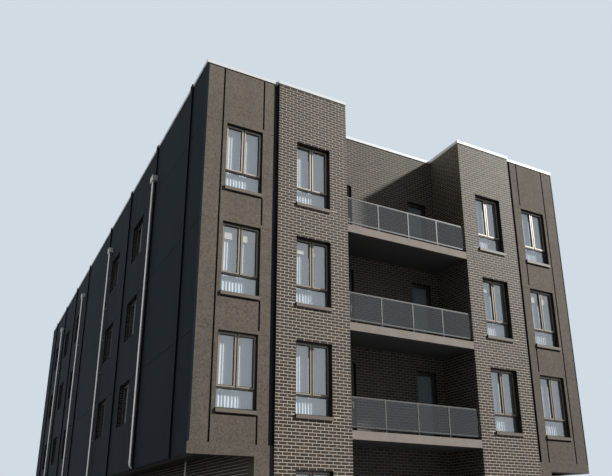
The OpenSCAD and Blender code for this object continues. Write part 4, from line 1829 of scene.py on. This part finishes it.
@dataclass
class Fasteners:
    """Rows of screw heads in the cladding beside its upright seams, and in the ribs."""

    block: Block
    step: float = 0.45
    aside: float = 0.042
    radius: float = 0.008
    height: float = 0.003
    rib_edge: float = 0.030
    under: float = 0.2
    below_top: float = 0.1
    rib_foot: float = 0.15

    def build(self) -> None:
        """Places the screws on the left wall and mirrors them."""
        bottom, top = self.block.soffit_z - self.under, self.block.render_top - self.below_top
        levels = np.arange(bottom, top, self.step)
        seams = set()
        for low, high in Facing.LEFT.on_side(self.block.side):
            seams |= {(round(float(low[1]), 3), -1), (round(float(high[1]), 3), 1)}
        places = []
        for seam, side in sorted(seams):
            places += [(-self.block.clad_x, seam + side * self.aside, z) for z in levels]
        for low, high in Facing.LEFT.on_side(solids("cladding_ribs")):
            rows = np.arange(low[2] + self.rib_foot, high[2] - self.below_top, self.step)
            edges = (low[1] + self.rib_edge, high[1] - self.rib_edge)
            places += [(low[0], y, z) for y in edges for z in rows]
        screws = studs(places, Facing.LEFT, self.radius, self.height).both_sides()
        screws.piece("cladding_screws", FINISHES["ribs"], "dark_metal")


@dataclass
class Roofing:
    """Roofing felt turned up the parapets with a clamping bar, and domed gratings at the outlets."""

    block: Block
    rise: float = 0.25
    thick: float = 0.006
    fillet: float = 0.06
    bar: float = 0.030
    bar_thick: float = 0.010
    bar_set: float = 0.003
    lip: Pair = (0.006, 0.002)
    outlet: float = 0.09
    outlet_in: float = 0.30
    flange: Pair = (0.13, 0.006)
    dome: float = 0.05
    neck: Pair = (0.004, 0.008)
    shell: Pair = (0.95, 0.004)

    def outline(self) -> np.ndarray:
        """The roof's edge inside its parapets, with the notch of the recess.

        Returns:
            The corners in plan, (8, 2), anticlockwise.
        """
        low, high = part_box("roof_slab")
        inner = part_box("recess_right_return")[1].x
        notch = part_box("recess_back_wall")[1].y
        half = [(inner, low.y), (high.x, low.y), (high.x, high.y)]
        other = [(-x, y) for x, y in reversed(half)]
        return np.array(half + other + [(-inner, notch), (inner, notch)])

    def edges(self) -> None:
        """Makes the upstand with its fillet, and the bar that clamps its upper edge."""
        path, z, thick = self.outline(), self.block.roof_z, self.thick
        turned_up = [(thick, self.fillet), (thick, self.rise), (0, self.rise)]
        upstand = np.array([(0, z), (self.fillet + thick, z)] + [(d, z + up) for d, up in turned_up])
        swept(path, upstand).piece("roof_upstands", FINISHES["roof"], "roofing")
        lip, slope = self.lip
        section = [(0, -self.bar), (self.bar_thick, -self.bar), (self.bar_thick, -slope), (lip, 0), (0, 0)]
        bar = np.array(section) + np.array([thick - self.bar_set, z + self.rise])
        swept(path, bar).piece("clamping_bars", NICKEL, "grey_metal")

    def gratings(self) -> None:
        """Makes a grating behind each hopper: a flange and a quarter circle, turned about an axis."""
        turn = np.linspace(0, np.pi / 2, 6)
        dome = np.column_stack([self.outlet * np.cos(turn), self.dome * np.sin(turn)]) + self.neck
        share, drop = self.shell
        inside = (dome - np.array([0, drop]))[::-1] * np.array([share, 1])
        reach, thick = self.flange
        profile = np.concatenate([[(reach, 0.0), (reach, thick)], dome, inside, [(self.outlet, 0.0)]])
        x = -self.block.inner_x + self.outlet_in
        hoppers = Facing.LEFT.on_side(self.block.hoppers)
        places = [(x, (low[1] + high[1]) / 2, self.block.roof_z) for low, high in hoppers]
        revolved(profile, places).both_sides().piece("outlet_gratings", NICKEL, "grey_metal")

    def build(self) -> None:
        """Makes the pieces."""
        self.edges()
        self.gratings()


@dataclass
class SoffitBoards:
    """Boards under the overhangs, laid along the building with open joints."""

    block: Block
    board: float = 0.139
    gap: float = 0.006
    thick: float = 0.008
    sunk: float = 0.001
    length: float = 2.40
    least: float = 0.05
    last: float = 0.1

    def build(self) -> None:
        """Lays the boards of the left overhang, with end joints that step, and mirrors them."""
        low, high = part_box("overhang_soffits")
        pitch = self.board + self.gap
        near, far = low.y + self.gap, high.y - self.gap
        boards = []
        for row in range(int((-self.block.lower_x - low.x) / pitch)):
            x = low.x + self.gap + row * pitch
            for start in np.arange(near - (row % 2) * self.length / 2, high.y - self.last, self.length):
                ends = (max(start, near), min(start + self.length - self.gap, far))
                if ends[1] - ends[0] > self.least:
                    corner = (x + self.board, ends[1], low.z + self.sunk)
                    boards.append([(x, ends[0], low.z - self.thick), corner])
        planks = blocks(boards, chamfer=0.002).both_sides()
        planks.piece("soffit_planks", FINISHES["soffit"], "soffit")


@dataclass
class DoorFittings:
    """Lever handles and metal thresholds of the balcony doors, and end caps of the sills."""

    block: Block
    handle_up: float = 1.02
    plate: Triple = (0.032, 0.008, 0.21)
    lever: Triple = (0.125, 0.014, 0.016)
    lever_end: float = 0.010
    lever_up: float = 0.040
    neck: float = 0.008
    reach: float = 0.050
    sash_in: float = 0.057
    sunk: float = 0.001
    threshold: float = 0.018
    threshold_ends: float = 0.002
    threshold_set: Pair = (0.004, 0.0005)
    cap: float = 0.004
    cap_over: float = 0.002
    nose: float = 0.045

    def handles(self) -> Shape:
        """Makes a back plate, a neck and a lever on each door's inner stile.

        Returns:
            The handles.
        """
        parts = []
        wide, thick, tall = self.plate
        length, deep, high = self.lever
        for door in self.block.doors:
            side = 1 if door[0, 0] < 0 else -1
            x = door[(side + 1) // 2, 0] - side * self.sash_in
            face, z = door[0, 1], door[0, 2] + self.handle_up
            out, bar = face - self.reach, z + self.lever_up
            ends = sorted((x + side * self.lever_end, x - side * length))
            parts += [
                [
                    (x - wide / 2, face - thick, z - tall / 2),
                    (x + wide / 2, face + self.sunk, z + tall / 2),
                ],
                [(x - self.neck, out, bar - self.neck), (x + self.neck, face - thick, bar + self.neck)],
                [(ends[0], out - deep, bar - high / 2), (ends[1], out + self.sunk, bar + high / 2)],
            ]
        return blocks(parts, chamfer=0.0025)

    def thresholds(self) -> Shape:
        """Makes a metal strip on the floor in front of each door, inside its opening.

        Returns:
            The thresholds.
        """
        ends, (back, up) = self.threshold_ends, self.threshold_set
        wall = back - self.block.back_y
        plates = []
        for low, high in self.block.doors:
            corner = (high[0] - ends, low[1] - self.sunk, low[2] + self.threshold)
            plates.append([(low[0] + ends, wall, low[2] + up), corner])
        return blocks(plates, chamfer=0.004)

    def caps(self) -> Shape:
        """Makes end caps of the sills, just round each end of the nose, black partly as painted shade of
        the notch there.

        Returns:
            The caps.
        """
        caps, over = [], self.cap_over
        for low, high in self.block.sills:
            tip = low[1] + self.sunk if low[1] < 0 else high[1] - self.sunk
            root = low[1] + self.nose if low[1] < 0 else high[1] - self.nose
            ends = sorted((tip, root))
            for x in (low[0] - over, high[0] + over - self.cap):
                caps.append([(x, ends[0], low[2] - over), (x + self.cap, ends[1], high[2] + 2 * over)])
        return blocks(caps, chamfer=0.001)

    def build(self) -> None:
        """Makes the pieces."""
        self.handles().piece("door_handles", NICKEL, "grey_metal")
        self.thresholds().piece("door_thresholds", NICKEL, "grey_metal")
        # Black end caps, partly painted shade of the notch at each end of a sill
        self.caps().piece("sill_end_caps", RUBBER, "dark_metal")


@dataclass
class Numeral:
    """The house numeral 1 on the left front pillar, cut from plate and stood off the render."""

    block: Block
    left: float = 0.30
    top: float = 2.38
    tall: float = 0.24
    stem: float = 0.042
    flag: float = 0.055
    flag_depth: float = 1.8
    thick: float = 0.012
    off: float = 0.006
    pin: float = 0.006
    pin_in: float = 0.002
    pin_ends: Pair = (0.04, 0.06)

    def build(self) -> None:
        """A stem with a slanted flag, as a strip between two lines, and two pins behind it."""
        x = -self.block.tower_x - self.left
        foot, notch, edge = self.top - self.tall, self.top - self.flag, x + self.flag
        outer = [(edge + self.stem, foot), (edge + self.stem, self.top), (edge, self.top), (x, notch)]
        inner = [(edge, foot), (edge, notch), (edge, notch), (x, self.top - self.flag_depth * self.flag)]
        wall = -self.block.front_y
        face = wall - self.off
        plate = ribbon(np.array(outer), np.array(inner), face - self.thick, face).placed(Facing.RIGHT)
        levels = (foot + self.pin_ends[0], self.top - self.pin_ends[1])
        places = [(edge + self.stem / 2, wall, z) for z in levels]
        pins = studs(places, Facing.FRONT, self.pin, self.off + self.pin_in)
        Shape.joined([plate, pins]).piece("house_numeral", CREAM, "white_metal")


def dress_nodes(block: Block) -> None:
    """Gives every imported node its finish; a node that DRESSED doesn't name is brickwork.

    Args:
        block: The building's main places.
    """
    top_floor = block.balconies[2]
    places = (block.tower_x, block.brick_y, block.recess_x, block.back_y, block.inner_x, top_floor)
    brickwork = BrickworkFinish("brickwork", *places)
    colours = (srgb(112, 103, 92), srgb(120, 110, 98), srgb(70, 63, 56))
    render = RenderFinish("brown_render", *colours, block.tower_x, block.front_y, block.band_top)
    # Frame and sash colours; the darker frame is partly painted shade
    colours = (srgb(68, 61, 54), srgb(150, 138, 121))
    frames = FrameFinish("window_bronze", *colours, block.frame_y, block.frame_x, top_floor)
    # Railing steel, the end post's painted sunlight, and the dark foot
    colours = (srgb(98, 96, 91), srgb(222, 212, 196), srgb(30, 30, 31))
    end_post = 0.04
    railing = RailingFinish("railing_steel", *colours, end_post - block.recess_x, block.balconies)
    kinds = {**FINISHES, "render": render, "bronze": frames, "railing": railing}
    finishes = {node: kinds[key] for key, nodes in DRESSED.items() for node in nodes}
    for name, node in frame["nodes"].items():
        finish = finishes.get(name, brickwork)
        node.data.materials.clear()
        node.data.materials.append(finish.material())
        LOG.info("%s: %s", name, finish.name)


@dataclass(frozen=True)
class Sun:
    """A lamp as far away as the sun: where its light comes from, and its angle in degrees."""

    name: str
    come_from: Triple
    strength: float
    angle: float

    def add(self) -> None:
        """Adds the lamp, turned so that its light comes from its direction."""
        lamp = bpy.data.lights.new(self.name, "SUN")
        lamp.energy = self.strength
        lamp.angle = math.radians(self.angle)
        made = bpy.data.objects.new(self.name, lamp)
        made.rotation_euler = Vector(self.come_from).to_track_quat("Z", "Y").to_euler()
        bpy.context.scene.collection.objects.link(made)


@dataclass(frozen=True)
class Studio:
    """Pale floor, even sky, a soft key lamp with two fills, and the camera."""

    camera_place: Triple = (-11.456, -30.18, 1.265)
    yaw: float = 27.859
    pitch: float = 18.228
    lens: float = 38.341
    sensor: float = 36.0
    shift: float = 0.12
    sight: float = 1000.0
    suns: tuple[Sun, ...] = (
        Sun("key", (2.0, -1.0, 1.55), 5.9, 3.0),
        Sun("fill", (0.35, 1.0, 0.3), 1.7, 20.0),
        Sun("side", (-1.0, 0.2, 0.25), 0.6, 30.0),
    )
    sky: Colour = (0.64, 0.71, 0.78, 1.0)
    sky_tone: Colour = (0.62, 0.78, 0.95, 1.0)
    sky_light: float = 0.12
    floor: Colour = srgb(206, 208, 210)
    floor_bounce: Colour = srgb(68, 68, 68)
    floor_reach: float = 400.0
    floor_drop: float = 0.002

    def set_camera(self) -> None:
        """The camera looks up at the near corner from the street."""
        data = bpy.data.cameras.new("camera")
        data.sensor_width = self.sensor
        data.lens = self.lens
        data.shift_y = self.shift
        data.clip_end = self.sight
        camera = bpy.data.objects.new("camera", data)
        camera.location = self.camera_place
        camera.rotation_euler = (math.radians(90 + self.pitch), 0.0, -math.radians(self.yaw))
        bpy.context.scene.collection.objects.link(camera)
        bpy.context.scene.camera = camera

    def set_floor(self) -> None:
        """A wide pale floor at the building's foot, which throws less light back than it shows."""
        plan = (2 * np.array(SQUARE) - 1) * self.floor_reach
        points = np.column_stack([plan, np.full(len(plan), -self.floor_drop)])
        mesh = bpy.data.meshes.new("floor")
        mesh.from_pydata(points.tolist(), [], [range(len(plan))])
        floor = bpy.data.objects.new("floor", mesh)
        bpy.context.scene.collection.objects.link(floor)
        graph = Graph(bpy.data.materials.new("studio_floor"))
        colour = graph.mix(graph.seen(), self.floor_bounce, self.floor)
        floor.data.materials.append(graph.finish(Base_Color=colour, Roughness=0.9))

    def set_light(self) -> None:
        """An even sky that shows paler than it shines, a key lamp and weak fills."""
        world = bpy.data.worlds.new("studio_sky")
        bpy.context.scene.world = world
        graph = Graph(world)
        light = graph.out("ShaderNodeBackground", {}, {"Color": self.sky_tone, "Strength": self.sky_light})
        shown = graph.out("ShaderNodeBackground", {}, {"Color": self.sky})
        sky = graph.out("ShaderNodeMixShader", {}, {0: graph.seen(), 1: light, 2: shown})
        graph.end(sky, "ShaderNodeOutputWorld")
        for sun in self.suns:
            sun.add()
        bpy.context.scene.view_settings.view_transform = "Standard"

    def build(self) -> None:
        """Sets the camera, the floor and the light."""
        self.set_camera()
        self.set_floor()
        self.set_light()


def main() -> None:
    """Builds the looks in order."""
    logging.basicConfig(level=logging.INFO, format="%(message)s")
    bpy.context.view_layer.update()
    block = Block.read()
    Studio().build()
    dress_nodes(block)
    parts = (
        Brickwork, Curtains, Blinds, Gaskets, RailingBolts, Rainwater, Fasteners, Roofing, SoffitBoards,
        DoorFittings, Numeral,
    )
    for part in parts:
        part(block).build()


if __name__ == "__main__":
    main()
